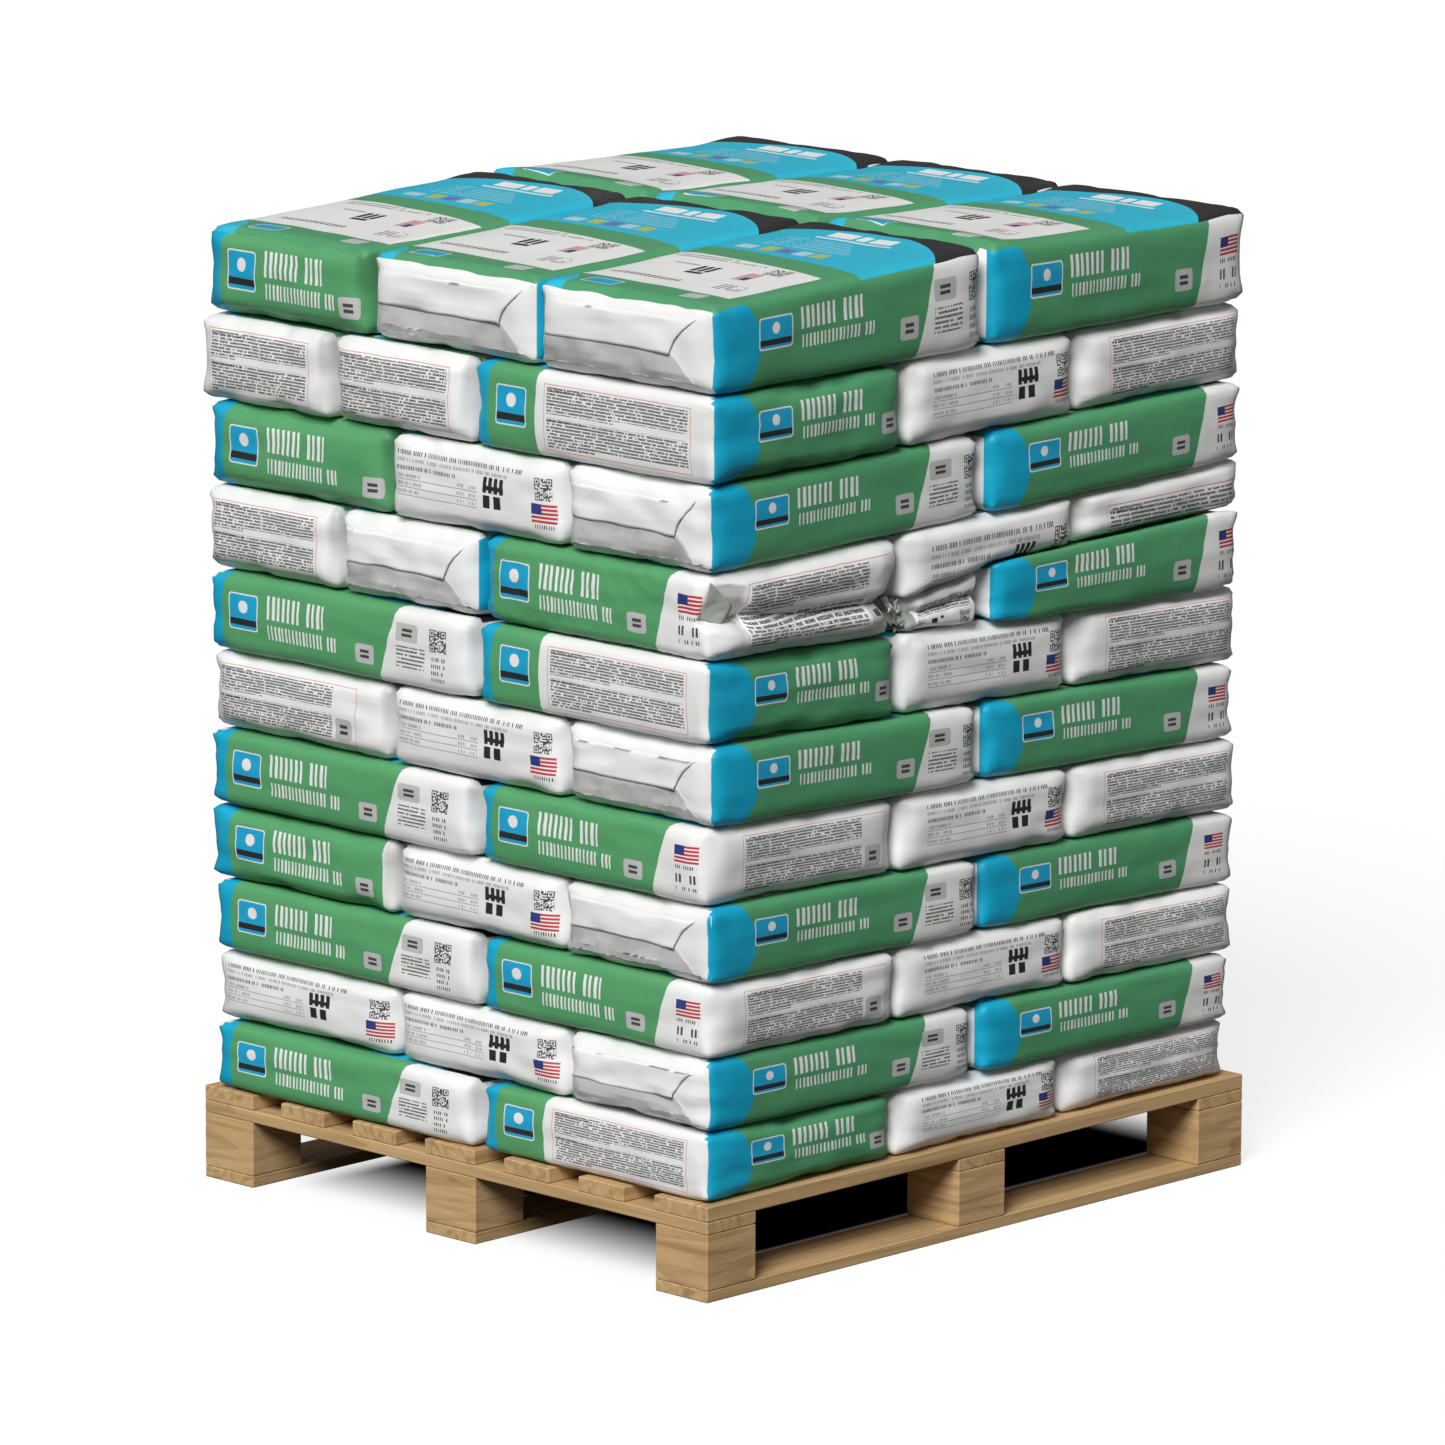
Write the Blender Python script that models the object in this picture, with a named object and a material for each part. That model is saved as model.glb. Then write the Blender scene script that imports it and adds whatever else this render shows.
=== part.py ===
"""A wooden pallet loaded with bags of tile adhesive.

Blender 4.5, metres, +Z up. The origin is on the floor, under the middle of the pallet. The front face
of the load, at -Y, shows the ends of the deck boards, and +X is to the right of it.

The pallet is nailed from boards and blocks, and each of them is an object. The bags lie in courses.
Each course is one object: its bags press against each other, so they join at their bellies, and the
grooves between them stay open. One burst bag and one bag that was pushed in under a course are
objects of their own.
"""

import math

import bmesh
import bpy
from mathutils import Vector

# Pallet: overall size, and the thickness of each tier from the floor up
PALLET_WIDTH = 1.070
PALLET_LENGTH = 1.174
BOTTOM_BOARD = 0.018
BLOCK_HEIGHT = 0.084
STRINGER = 0.019
DECK_BOARD = 0.023
PALLET_HEIGHT = BOTTOM_BOARD + BLOCK_HEIGHT + STRINGER + DECK_BOARD

# Widths of the boards, and the plan size of the blocks
DECK_COUNT = 7
DECK_WIDTHS = {0: 0.106, 3: 0.106, 6: 0.110}
DECK_WIDTH_BETWEEN = 0.094
BLOCK_ALONG_X = 0.106
BLOCK_ALONG_Y = 0.102
WOOD_CHAMFER = 0.0015

# Clearance that pieces keep where one rests on another
SEAT = 0.0003

# Plan outline of the load as (left, right, front, back), at its lowest and its highest course
FOOT_PLAN = (-0.510, 0.524, -0.576, 0.552)
HEAD_PLAN = (-0.529, 0.529, -0.578, 0.569)

# Courses, counted from the pallet up. The weight above flattens the lower ones.
COURSES = 11
LOWEST_COURSE = 0.106
HIGHEST_COURSE = 0.135

# The lower courses sink towards the back. The levelling course, with the bag pushed in under it, takes
# this up and more: the joints above it rise a little towards the back, up to the level top.
SINK_FIRST = 0.015
SINK_STEP = 0.0038
LEVELLING_COURSE = 8
RISES = {8: 0.030, 9: 0.021, 10: 0.009}

# A bag: its round corners in plan, its round edges above and below, and how far its sides swell
BAG_CORNER = 0.036
BAG_EDGE = 0.017
BAG_BELLY = 0.0060
BAG_MARGIN = 0.0015
BELLY_SPREAD = 0.06
TOP_EDGE = 0.030
TOP_CROWN = 0.010
CROWN_INSET = 0.055

# Where the joints between bags lie, as shares of the load's width or length
THREE_ENDS = (0.372, 0.716)
THREE_ENDS_TOP = (0.338, 0.662)
TWO_LONG = (0.503,)
LONG_THEN_SHORT = 0.548
THREE_SIDES = (0.345, 0.677)
THREE_SIDES_REAR = (0.330, 0.665)
NARROW_PAIR = (0.270,)

# The bag pushed in under the levelling course, and the burst bag beside it
SQUASHED = 0.078
EXTRA_BAG_WIDTH = 0.390
EXTRA_BAG_FRONT = 0.012
EXTRA_BAG_PROUD = 0.002
SADDLE = 0.040
BURST_LIP = 0.048
BURST_FRONT_GAP = 0.014
BURST_WIDTH = 0.370
CREASE_HEIGHT = 0.46
CREASE_OPENING = 0.030
CREASE_DEPTH = 0.026

GREEN_PAPER = (0.110, 0.330, 0.155, 1.0)
WHITE_PAPER = (0.720, 0.720, 0.710, 1.0)
PINE = (0.480, 0.290, 0.130, 1.0)


def clear_scene():
    for obj in list(bpy.data.objects):
        bpy.data.objects.remove(obj)


def material(name, colour, roughness):
    made = bpy.data.materials.new(name)
    made.use_nodes = True
    shader = made.node_tree.nodes["Principled BSDF"]
    shader.inputs["Base Color"].default_value = colour
    shader.inputs["Roughness"].default_value = roughness
    shader.inputs["Metallic"].default_value = 0.0
    return made


def object_from(bm, name, finish=None):
    """Ends a bmesh as an object of that name."""
    bmesh.ops.recalc_face_normals(bm, faces=bm.faces)
    mesh = bpy.data.meshes.new(name)
    bm.to_mesh(mesh)
    bm.free()
    obj = bpy.data.objects.new(name, mesh)
    bpy.context.scene.collection.objects.link(obj)
    if finish:
        mesh.materials.append(finish)
    return obj


def mix(low, high, share):
    return low + (high - low) * share


# The pallet

def timber(name, low, high, finish):
    """A sawn board or block between two corners, with its arrises taken off."""
    low, high = Vector(low), Vector(high)
    bm = bmesh.new()
    bmesh.ops.create_cube(bm, size=1.0)
    bmesh.ops.scale(bm, vec=high - low, verts=bm.verts)
    bmesh.ops.bevel(bm, geom=bm.edges[:], offset=WOOD_CHAMFER, segments=1, profile=0.5,
                    affect="EDGES", material=-1)
    obj = object_from(bm, name, finish)
    obj.location = (low + high) / 2
    return obj


def three_places(span, size):
    """The low sides of three pieces: at both ends of a centred span, and in its middle."""
    return (-span / 2, -size / 2, span / 2 - size)


def deck_lefts():
    """The left side and width of each deck board: equal gaps between boards of unlike width."""
    widths = [DECK_WIDTHS.get(i, DECK_WIDTH_BETWEEN) for i in range(DECK_COUNT)]
    gap = (PALLET_WIDTH - sum(widths)) / (DECK_COUNT - 1)
    left = -PALLET_WIDTH / 2
    for width in widths:
        yield left, width
        left += width + gap


def build_pallet(pine):
    back = PALLET_LENGTH / 2
    side = PALLET_WIDTH / 2
    blocks_at = BOTTOM_BOARD
    stringers_at = blocks_at + BLOCK_HEIGHT
    deck_at = stringers_at + STRINGER
    columns = list(zip(("left", "middle", "right"), three_places(PALLET_WIDTH, BLOCK_ALONG_X)))
    rows = list(zip(("front", "centre", "back"), three_places(PALLET_LENGTH, BLOCK_ALONG_Y)))
    for column, x in columns:
        timber(f"bottom_board_{column}", (x, -back, 0.0),
               (x + BLOCK_ALONG_X, back, BOTTOM_BOARD - SEAT), pine)
        for row, y in rows:
            timber(f"block_{row}_{column}", (x, y, blocks_at),
                   (x + BLOCK_ALONG_X, y + BLOCK_ALONG_Y, stringers_at - SEAT), pine)
    for row, y in rows:
        timber(f"stringer_{row}", (-side, y, stringers_at),
               (side, y + BLOCK_ALONG_Y, deck_at - SEAT), pine)
    for number, (x, width) in enumerate(deck_lefts(), 1):
        timber(f"deck_board_{number}", (x, -back, deck_at),
               (x + width, back, PALLET_HEIGHT - SEAT), pine)


# The load: where its courses and joints lie

def plan(course):
    """(left, right, front, back) of a course."""
    share = course / (COURSES - 1)
    return tuple(mix(foot, head, share) for foot, head in zip(FOOT_PLAN, HEAD_PLAN))


def course_thickness(course):
    return mix(LOWEST_COURSE, HIGHEST_COURSE, course / (COURSES - 1))


def sink(joint):
    """How far a bed joint has sunk at the back. Joint 0 is the deck, joint 1 the first course's top."""
    if joint == 0 or joint >= LEVELLING_COURSE:
        return -RISES.get(joint, 0.0)
    return SINK_FIRST + SINK_STEP * (joint - 1)


def bed(joint):
    """The height of a bed joint, as a function of x and y."""
    front_height = PALLET_HEIGHT + sum(course_thickness(c) for c in range(joint))
    _, _, front, back = FOOT_PLAN
    drop = sink(joint)

    def height(x, y):
        return front_height - drop * (y - front) / (back - front)

    return height


def lowered(height, amount):
    return lambda x, y: height(x, y) - amount


def cells(low, high, shares):
    """The stretches that joints at those shares leave between low and high."""
    cuts = [low, *(mix(low, high, share) for share in shares), high]
    return list(zip(cuts, cuts[1:]))


def grid(columns, rows):
    return [(*column, *row) for row in rows for column in columns]


def ends_to_front(course, splits):
    """Three bags across the front and two rows deep, with their length along Y."""
    left, right, front, back = plan(course)
    return grid(cells(left, right, splits), cells(front, back, TWO_LONG))


def sides_to_front(course):
    """Two bags along the front and three rows deep, with their length along X."""
    left, right, front, back = plan(course)
    (left_column, right_column) = cells(left, right, (LONG_THEN_SHORT,))
    return (grid([left_column], cells(front, back, THREE_SIDES_REAR))
            + grid([right_column], cells(front, back, THREE_SIDES)))


def pair_and_side(course):
    """Narrow bags end-on in the left column, two rows of two, and three bags lengthwise at the right."""
    left, right, front, back = plan(course)
    (pair_left, pair_right, right_column) = cells(left, right, (*NARROW_PAIR, LONG_THEN_SHORT))
    return (grid([pair_left, pair_right], cells(front, back, TWO_LONG))
            + grid([right_column], cells(front, back, THREE_SIDES)))


def layout(course):
    """The plan cells of a course's bags. Course 0 lies on the deck."""
    if course == COURSES - 1:
        return ends_to_front(course, THREE_ENDS_TOP)
    if course in (1, 3, 5, 8):
        return ends_to_front(course, THREE_ENDS)
    if course in (7, 9):
        return pair_and_side(course)
    return sides_to_front(course)


# A bag

def split_along(bm, axis, values):
    """Cuts the mesh across an axis, 0 for x and 1 for y, without opening it."""
    normal = Vector((axis == 0, axis == 1, 0.0))
    for value in values:
        bmesh.ops.bisect_plane(bm, geom=bm.verts[:] + bm.edges[:] + bm.faces[:],
                               plane_co=normal * value, plane_no=normal)


def at_height(edge, z):
    return all(abs(vert.co.z - z) < 1e-6 for vert in edge.verts)


def belly_share(cell):
    """How high the widest line of a bag is. No two bags bulge alike, so it differs with the place."""
    left, _, front, _ = cell
    return 0.5 + BELLY_SPREAD * math.sin(31.0 * left + 57.0 * front)


def bag(cell, floor, roof, x_breaks=(), y_breaks=(), crowned=False):
    """A bmesh of one filled bag in a plan cell, between two height functions.

    It is a block with round corners in plan and round edges above and below, a margin inside the
    cell. Its belly, about halfway up, stands a little proud of the cell, so that the bags of a
    course meet there.
    """
    left, right = cell[0] + BAG_MARGIN, cell[1] - BAG_MARGIN
    front, back = cell[2] + BAG_MARGIN, cell[3] - BAG_MARGIN
    middle = Vector(((left + right) / 2, (front + back) / 2, 0.0))
    thickness = roof(middle.x, middle.y) - floor(middle.x, middle.y)
    bm = bmesh.new()
    bmesh.ops.create_cube(bm, size=1.0)
    bmesh.ops.translate(bm, vec=(0.0, 0.0, 0.5), verts=bm.verts)
    bmesh.ops.scale(bm, vec=(right - left, back - front, thickness), verts=bm.verts)
    bmesh.ops.translate(bm, vec=middle, verts=bm.verts)
    upright = [e for e in bm.edges if abs(e.verts[0].co.z - e.verts[1].co.z) > thickness / 2]
    bmesh.ops.bevel(bm, geom=upright, offset=BAG_CORNER, segments=2, profile=0.5,
                    affect="EDGES", material=-1)
    top_rim = [e for e in bm.edges if at_height(e, thickness)]
    bmesh.ops.bevel(bm, geom=top_rim, offset=TOP_EDGE if crowned else BAG_EDGE,
                    segments=2 if crowned else 1, profile=0.5, affect="EDGES", material=-1)
    bottom_rim = [e for e in bm.edges if at_height(e, 0.0)]
    bmesh.ops.bevel(bm, geom=bottom_rim, offset=BAG_EDGE, segments=1, profile=0.5,
                    affect="EDGES", material=-1)
    cut = bmesh.ops.bisect_plane(bm, geom=bm.verts[:] + bm.edges[:] + bm.faces[:],
                                 plane_co=(0.0, 0.0, thickness * belly_share(cell)),
                                 plane_no=(0.0, 0.0, 1.0))
    belly = [v for v in cut["geom_cut"] if isinstance(v, bmesh.types.BMVert)]
    swell = Vector((1 + 2 * BAG_BELLY / (right - left), 1 + 2 * BAG_BELLY / (back - front), 1.0))
    for vert in belly:
        vert.co = middle + (vert.co - middle) * swell
    if crowned:
        top = [f for f in bm.faces if all(abs(v.co.z - thickness) < 1e-6 for v in f.verts)]
        bmesh.ops.inset_region(bm, faces=top, thickness=0.0)
        crown = Vector((1 - 2 * CROWN_INSET / (right - left),
                        1 - 2 * CROWN_INSET / (back - front), 1.0))
        for vert in {vert for face in top for vert in face.verts}:
            vert.co = middle + (vert.co - middle) * crown + Vector((0.0, 0.0, TOP_CROWN))
    split_along(bm, 0, x_breaks)
    split_along(bm, 1, y_breaks)
    for vert in bm.verts:
        low = floor(vert.co.x, vert.co.y)
        high = roof(vert.co.x, vert.co.y)
        vert.co.z = low + vert.co.z / thickness * (high - low)
    bmesh.ops.triangulate(bm, faces=bm.faces)
    return bm


def united(bodies, name, finish):
    """One object from several overlapping bags."""
    first = object_from(bodies[0], name, finish)
    helpers = bpy.data.collections.new(name + "_helpers")
    bpy.context.scene.collection.children.link(helpers)
    for number, body in enumerate(bodies[1:], 1):
        helper = object_from(body, f"{name}_helper_{number}")
        bpy.context.scene.collection.objects.unlink(helper)
        helpers.objects.link(helper)
    joined = first.modifiers.new("join", "BOOLEAN")
    joined.operation = "UNION"
    joined.solver = "EXACT"
    joined.operand_type = "COLLECTION"
    joined.collection = helpers
    bpy.context.view_layer.update()
    evaluated = first.evaluated_get(bpy.context.evaluated_depsgraph_get())
    mesh = bpy.data.meshes.new_from_object(evaluated)
    first.modifiers.clear()
    first.data = mesh
    for helper in list(helpers.objects):
        bpy.data.objects.remove(helper)
    bpy.data.collections.remove(helpers)
    mesh.materials.clear()
    mesh.materials.append(finish)
    return first


# The course that takes up the sinking, and what was pushed in under it

def extra_bag_left():
    return plan(LEVELLING_COURSE - 1)[1] - EXTRA_BAG_WIDTH


def shelf_height():
    """The underside of the bags that lie over the extra bag and the burst bag."""
    lower, upper = bed(LEVELLING_COURSE - 1), bed(LEVELLING_COURSE)
    start = levelling_cells()["over_burst"][2]

    def height(x, y):
        raised = upper(x, y) - SQUASHED
        if y < EXTRA_BAG_FRONT:
            raised = mix(lower(x, y) + BURST_LIP, upper(x, EXTRA_BAG_FRONT) - SQUASHED,
                         max(0.0, (y - start) / (EXTRA_BAG_FRONT - start)))
        share = min(1.0, max(0.0, (x - extra_bag_left() + SADDLE) / SADDLE))
        return mix(lower(x, y), raised, share)

    return height


def levelling_cells():
    """The plan cells at the right of the levelling course, by name, front to back."""
    found = layout(LEVELLING_COURSE - 1)
    return dict(zip(("creased", "over_burst", "over_extra"), found[-3:]))


def crease_cutter():
    """A wedge that folds the right end of the corner bag in, all along it and round its corner."""
    left, right, front, back = levelling_cells()["creased"]
    lower, upper = bed(LEVELLING_COURSE - 1), bed(LEVELLING_COURSE)
    height = mix(lower(right, front), upper(right, front), CREASE_HEIGHT)
    outside = right + 3 * BAG_BELLY
    reach = outside - right + CREASE_DEPTH
    bm = bmesh.new()
    bmesh.ops.create_cone(bm, cap_ends=True, segments=3, radius1=1.0, radius2=1.0, depth=1.0)
    turned = {vert: vert.co.copy() for vert in bm.verts}
    tip = max(co.y for co in turned.values())
    foot = min(co.y for co in turned.values())
    half_base = max(co.x for co in turned.values())
    for vert, co in turned.items():
        depth = (co.y - foot) / (tip - foot)
        vert.co = Vector((outside - depth * reach,
                          mix(front - BAG_CORNER, back, co.z + 0.5),
                          height + co.x / half_base * CREASE_OPENING))
    cutter = object_from(bm, "crease_cutter")
    cutter.hide_render = True
    cutter.display_type = "WIRE"
    return cutter


def build_levelling_course(course, white):
    lower, upper = bed(course), lowered(bed(course + 1), SEAT)
    shelf = shelf_height()
    named = levelling_cells()
    saddle = (extra_bag_left() - SADDLE, extra_bag_left())
    bodies = [bag(cell, lower, upper) for cell in layout(course)[:-3]]
    bodies.append(bag(named["creased"], lower, upper))
    bodies.append(bag(named["over_burst"], shelf, upper, saddle, (EXTRA_BAG_FRONT,)))
    bodies.append(bag(named["over_extra"], shelf, upper, saddle))
    body = united(bodies, f"bag_course_{course + 1:02d}", white)
    crease = body.modifiers.new("crease", "BOOLEAN")
    crease.operation = "DIFFERENCE"
    crease.solver = "EXACT"
    crease.object = crease_cutter()


def build_extra_bag(green):
    """A whole bag that lies lengthwise under the back of the levelling course, at the right."""
    _, right, _, back = plan(LEVELLING_COURSE - 1)
    cell = (extra_bag_left(), right + EXTRA_BAG_PROUD, EXTRA_BAG_FRONT, back)
    object_from(bag(cell, bed(LEVELLING_COURSE - 1), lowered(shelf_height(), SEAT)),
                "extra_bag", green)


def build_burst_bag(white):
    """What is left of a bag that burst: a flat wedge between two courses."""
    _, right, front, _ = levelling_cells()["over_burst"]
    cell = (right - BURST_WIDTH, right - BAG_BELLY, front + BURST_FRONT_GAP,
            EXTRA_BAG_FRONT - 3 * BAG_BELLY)
    object_from(bag(cell, bed(LEVELLING_COURSE - 1), lowered(shelf_height(), SEAT)),
                "burst_bag", white)


def build_load(green, white):
    for course in range(COURSES):
        if course == LEVELLING_COURSE - 1:
            build_levelling_course(course, white)
            continue
        lower, upper = bed(course), lowered(bed(course + 1), SEAT)
        is_top = course == COURSES - 1
        if is_top:
            upper = lowered(bed(course + 1), TOP_CROWN)
        bodies = [bag(cell, lower, upper, crowned=is_top) for cell in layout(course)]
        finish = green if course % 2 == 0 else white
        united(bodies, f"bag_course_{course + 1:02d}", finish)
    build_extra_bag(green)
    build_burst_bag(white)


def main():
    clear_scene()
    build_pallet(material("pine", PINE, 0.62))
    build_load(material("green_paper", GREEN_PAPER, 0.55), material("white_paper", WHITE_PAPER, 0.58))


main()
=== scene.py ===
# %% [markdown]
# # A pallet of tile adhesive bags
#
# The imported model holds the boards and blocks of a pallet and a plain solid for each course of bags.
# The timber already has its true shape, so it only needs a finish. The bags are another matter: a
# paper sack bulges, puckers at its corners and folds at its ends, and none of that is in the solids.
# So each bag is made again here, in about the space that its solid holds.

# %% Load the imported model
import math
import random

import bmesh
import bpy
import numpy as np
from mathutils import Matrix, Vector, noise
from mathutils.bvhtree import BVHTree


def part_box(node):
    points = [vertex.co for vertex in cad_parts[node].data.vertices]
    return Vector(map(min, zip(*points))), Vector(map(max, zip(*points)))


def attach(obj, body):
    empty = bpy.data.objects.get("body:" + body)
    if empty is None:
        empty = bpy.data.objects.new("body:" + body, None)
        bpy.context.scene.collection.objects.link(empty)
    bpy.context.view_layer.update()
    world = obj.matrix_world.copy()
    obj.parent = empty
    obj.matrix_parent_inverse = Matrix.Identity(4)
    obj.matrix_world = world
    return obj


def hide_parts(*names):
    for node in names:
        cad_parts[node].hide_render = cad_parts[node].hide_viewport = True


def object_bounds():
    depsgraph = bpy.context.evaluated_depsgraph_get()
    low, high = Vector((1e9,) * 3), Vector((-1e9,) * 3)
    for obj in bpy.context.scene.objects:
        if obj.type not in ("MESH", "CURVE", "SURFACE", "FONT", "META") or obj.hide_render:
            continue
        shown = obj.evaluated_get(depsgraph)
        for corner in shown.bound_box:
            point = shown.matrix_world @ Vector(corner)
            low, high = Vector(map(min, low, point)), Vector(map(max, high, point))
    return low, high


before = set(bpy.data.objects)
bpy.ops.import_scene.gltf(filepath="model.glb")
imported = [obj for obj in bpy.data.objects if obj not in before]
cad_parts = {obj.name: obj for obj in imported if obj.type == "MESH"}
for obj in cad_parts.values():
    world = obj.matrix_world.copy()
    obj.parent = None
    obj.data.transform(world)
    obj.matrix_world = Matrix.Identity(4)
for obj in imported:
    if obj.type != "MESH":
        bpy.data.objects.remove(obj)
cad_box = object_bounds()
print(len(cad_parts), "nodes,", "box", [round(side, 3) for side in cad_box[1] - cad_box[0]])

# %% [markdown]
# ## The camera
#
# The picture was taken from above the near corner, through a long lens, so that the edges of the load
# stay almost parallel. A camera can be set by hand until it looks right, or worked out from the
# corners of the load. The second way gives the place, the direction and the lens below. A little roll
# turns the camera about its own line of sight.

# %% Camera
PHOTO_SIZE = 1445
FOCAL_PIXELS = 10269
SENSOR_WIDTH = 36.0
CAMERA_PLACE = Vector((10.63, -10.94, 3.84))
CAMERA_SIGHT = Vector((-0.6828, 0.7021, -0.2016))
CAMERA_ROLL = math.radians(0.23)


def link(obj):
    bpy.context.scene.collection.objects.link(obj)
    return obj


def aim(obj, place, direction, roll=0.0):
    turn = direction.to_track_quat("-Z", "Y").to_matrix().to_4x4()
    obj.matrix_world = Matrix.Translation(place) @ turn @ Matrix.Rotation(roll, 4, "Z")


camera = link(bpy.data.objects.new("camera", bpy.data.cameras.new("camera")))
camera.data.sensor_width = SENSOR_WIDTH
camera.data.lens = FOCAL_PIXELS / PHOTO_SIZE * SENSOR_WIDTH
camera.data.clip_end = 60.0
aim(camera, CAMERA_PLACE, CAMERA_SIGHT, CAMERA_ROLL)
bpy.context.scene.camera = camera
print("lens", round(camera.data.lens), "mm")

# %% [markdown]
# ## Nodes in one line
#
# A printed bag needs some hundred shader nodes. Written out, each takes four or five lines, and what
# it does gets lost. So a small class keeps the node tree, and each of its methods adds a node, feeds
# it and hands back its output. An input may be a number, a colour or the output of another node.

# %% A node tree to write in
class Nodes:
    """Adds nodes to a tree. Each method returns an output socket."""

    def __init__(self, tree):
        self.tree = tree

    def add(self, kind, inputs=(), output=0, **settings):
        made = self.tree.nodes.new(kind)
        for name, value in settings.items():
            setattr(made, name, value)
        for key, value in dict(inputs).items():
            self.feed(made.inputs[key], value)
        return made.outputs[output]

    def feed(self, socket, value):
        if isinstance(value, bpy.types.NodeSocket):
            self.tree.links.new(value, socket)
        else:
            socket.default_value = value

    def math(self, operation, *values, clamp=False):
        return self.add("ShaderNodeMath", enumerate(values), operation=operation, use_clamp=clamp)

    def vector(self, operation, *values, output=0):
        return self.add("ShaderNodeVectorMath", enumerate(values), output, operation=operation)

    def parts(self, vector):
        return self.add("ShaderNodeSeparateXYZ", {0: vector}).node.outputs

    def joined(self, x=0.0, y=0.0, z=0.0):
        return self.add("ShaderNodeCombineXYZ", {0: x, 1: y, 2: z})

    def mixed(self, share, below, above):
        return self.add("ShaderNodeMix", {0: share, 6: below, 7: above}, 2, data_type="RGBA")

    def mixed_values(self, share, below, above):
        return self.add("ShaderNodeMix", {0: share, 2: below, 3: above}, 0, data_type="FLOAT")

    def step(self, value, start, end):
        """0 below start and 1 above end, with a smooth rise between."""
        return self.add("ShaderNodeMapRange", {0: value, 1: start, 2: end},
                        interpolation_type="SMOOTHSTEP")

    def inverse(self, mask):
        return self.math("SUBTRACT", 1.0, mask)

    def past(self, value, line):
        """The mask of what lies past a line, with the soft edge of ink."""
        return self.step(self.math("SUBTRACT", value, line), -INK_EDGE, INK_EDGE)

    def noise(self, vector, scale, detail=2.0, roughness=0.5):
        return self.add("ShaderNodeTexNoise", {"Vector": vector, "Scale": scale, "Detail": detail,
                                               "Roughness": roughness})

    def group(self, tree, **inputs):
        return self.add("ShaderNodeGroup", inputs, node_tree=tree)

    def surface(self, shader, colour, relief, strength, distance, shine):
        """Feeds a shader its colour, and the roughness and height that a group gives."""
        bump = self.add("ShaderNodeBump", {"Strength": strength, "Distance": distance,
                                           "Height": relief["Height"]}, "Normal")
        for name, value in (("Base Color", colour), ("Roughness", relief["Roughness"]),
                            ("Normal", bump), ("Specular IOR Level", shine)):
            self.feed(shader[name], value)


NUMBER, VECTOR, COLOUR = "NodeSocketFloat", "NodeSocketVector", "NodeSocketColor"
INK_EDGE = 0.0006


def new_group(name, vectors, numbers, outputs):
    """An empty node group, its Nodes, and the sockets of its inputs and of its results."""
    tree = bpy.data.node_groups.new(name, "ShaderNodeTree")
    for labels, kind in ((vectors, VECTOR), (numbers, NUMBER)):
        for label in labels:
            tree.interface.new_socket(label, in_out="INPUT", socket_type=kind)
    for label, kind in outputs.items():
        tree.interface.new_socket(label, in_out="OUTPUT", socket_type=kind)
    given = tree.nodes.new("NodeGroupInput").outputs
    results = tree.nodes.new("NodeGroupOutput").inputs
    return Nodes(tree), given, results


def new_mask(name, vectors, numbers=()):
    return new_group(name, vectors, numbers, {"Mask": NUMBER})


def new_material(name):
    """A material, the Nodes of its tree and the inputs of its shader."""
    made = bpy.data.materials.new(name)
    made.use_nodes = True
    return made, Nodes(made.node_tree), made.node_tree.nodes["Principled BSDF"].inputs


print("node helpers ready, edge of ink", INK_EDGE * 1000, "mm")

# %% [markdown]
# ## Shapes of ink
#
# Everything on the bags is flat ink on paper: blocks, rows of small print, coded squares. An image
# would be the usual way. Here each is worked out from its place on the face in metres, so it stays
# sharp at any distance and can be moved by changing a number. Six node groups hold the shapes, and
# each puts out a mask: 1 where the ink is and 0 elsewhere.

# %% Ink: panel, curved edge, rows of print, bars, code squares and span
def panel_group():
    """A rectangle with round corners, from its middle and half its size."""
    n, given, results = new_mask("Ink Panel", ("Point", "Middle", "Half"), ("Corner",))
    away = n.vector("ABSOLUTE", n.vector("SUBTRACT", given["Point"], given["Middle"]))
    shrunk = n.vector("SUBTRACT", given["Half"], n.joined(given["Corner"], given["Corner"]))
    outside = n.vector("MAXIMUM", n.vector("SUBTRACT", away, shrunk), (0.0, 0.0, 0.0))
    distance = n.math("SUBTRACT", n.vector("LENGTH", outside, output=1), given["Corner"])
    n.feed(results["Mask"], n.inverse(n.step(distance, 0.0, INK_EDGE)))
    return n.tree


def edge_group():
    """A border line across the face. The mask is 1 before the line, and it may lean and bulge."""
    n, given, results = new_mask("Curved Edge", ("Point",), ("Place", "Lean", "Bulge"))
    along, across, _ = n.parts(given["Point"])
    leaning = n.math("MULTIPLY_ADD", across, given["Lean"], given["Place"])
    squared = n.math("MULTIPLY", across, across)
    line = n.math("MULTIPLY_ADD", squared, given["Bulge"], leaning)
    n.feed(results["Mask"], n.inverse(n.past(along, line)))
    return n.tree


def print_group():
    """Rows of small print: dashes of uneven length, as type looks from a few steps away."""
    n, given, results = new_mask("Rows of Print", ("Point",), ("Row", "Word", "Height", "Gaps"))
    along, up, _ = n.parts(given["Point"])
    rows = n.math("DIVIDE", up, given["Row"])
    row = n.math("FLOOR", rows)
    shifted = n.math("MULTIPLY_ADD", row, 0.37, n.math("DIVIDE", along, given["Word"]))
    word = n.math("FLOOR", shifted)
    chance = n.add("ShaderNodeTexWhiteNoise", {"Vector": n.joined(word, row)},
                   noise_dimensions="2D")
    inked = n.math("GREATER_THAN", chance, given["Gaps"])
    in_row = n.math("LESS_THAN", n.math("FRACT", rows), given["Height"])
    letters = n.math("GREATER_THAN", n.noise(given["Point"], 900.0, 1.0), 0.42)
    n.feed(results["Mask"], n.math("MULTIPLY", n.math("MULTIPLY", inked, in_row), letters))
    return n.tree


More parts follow.
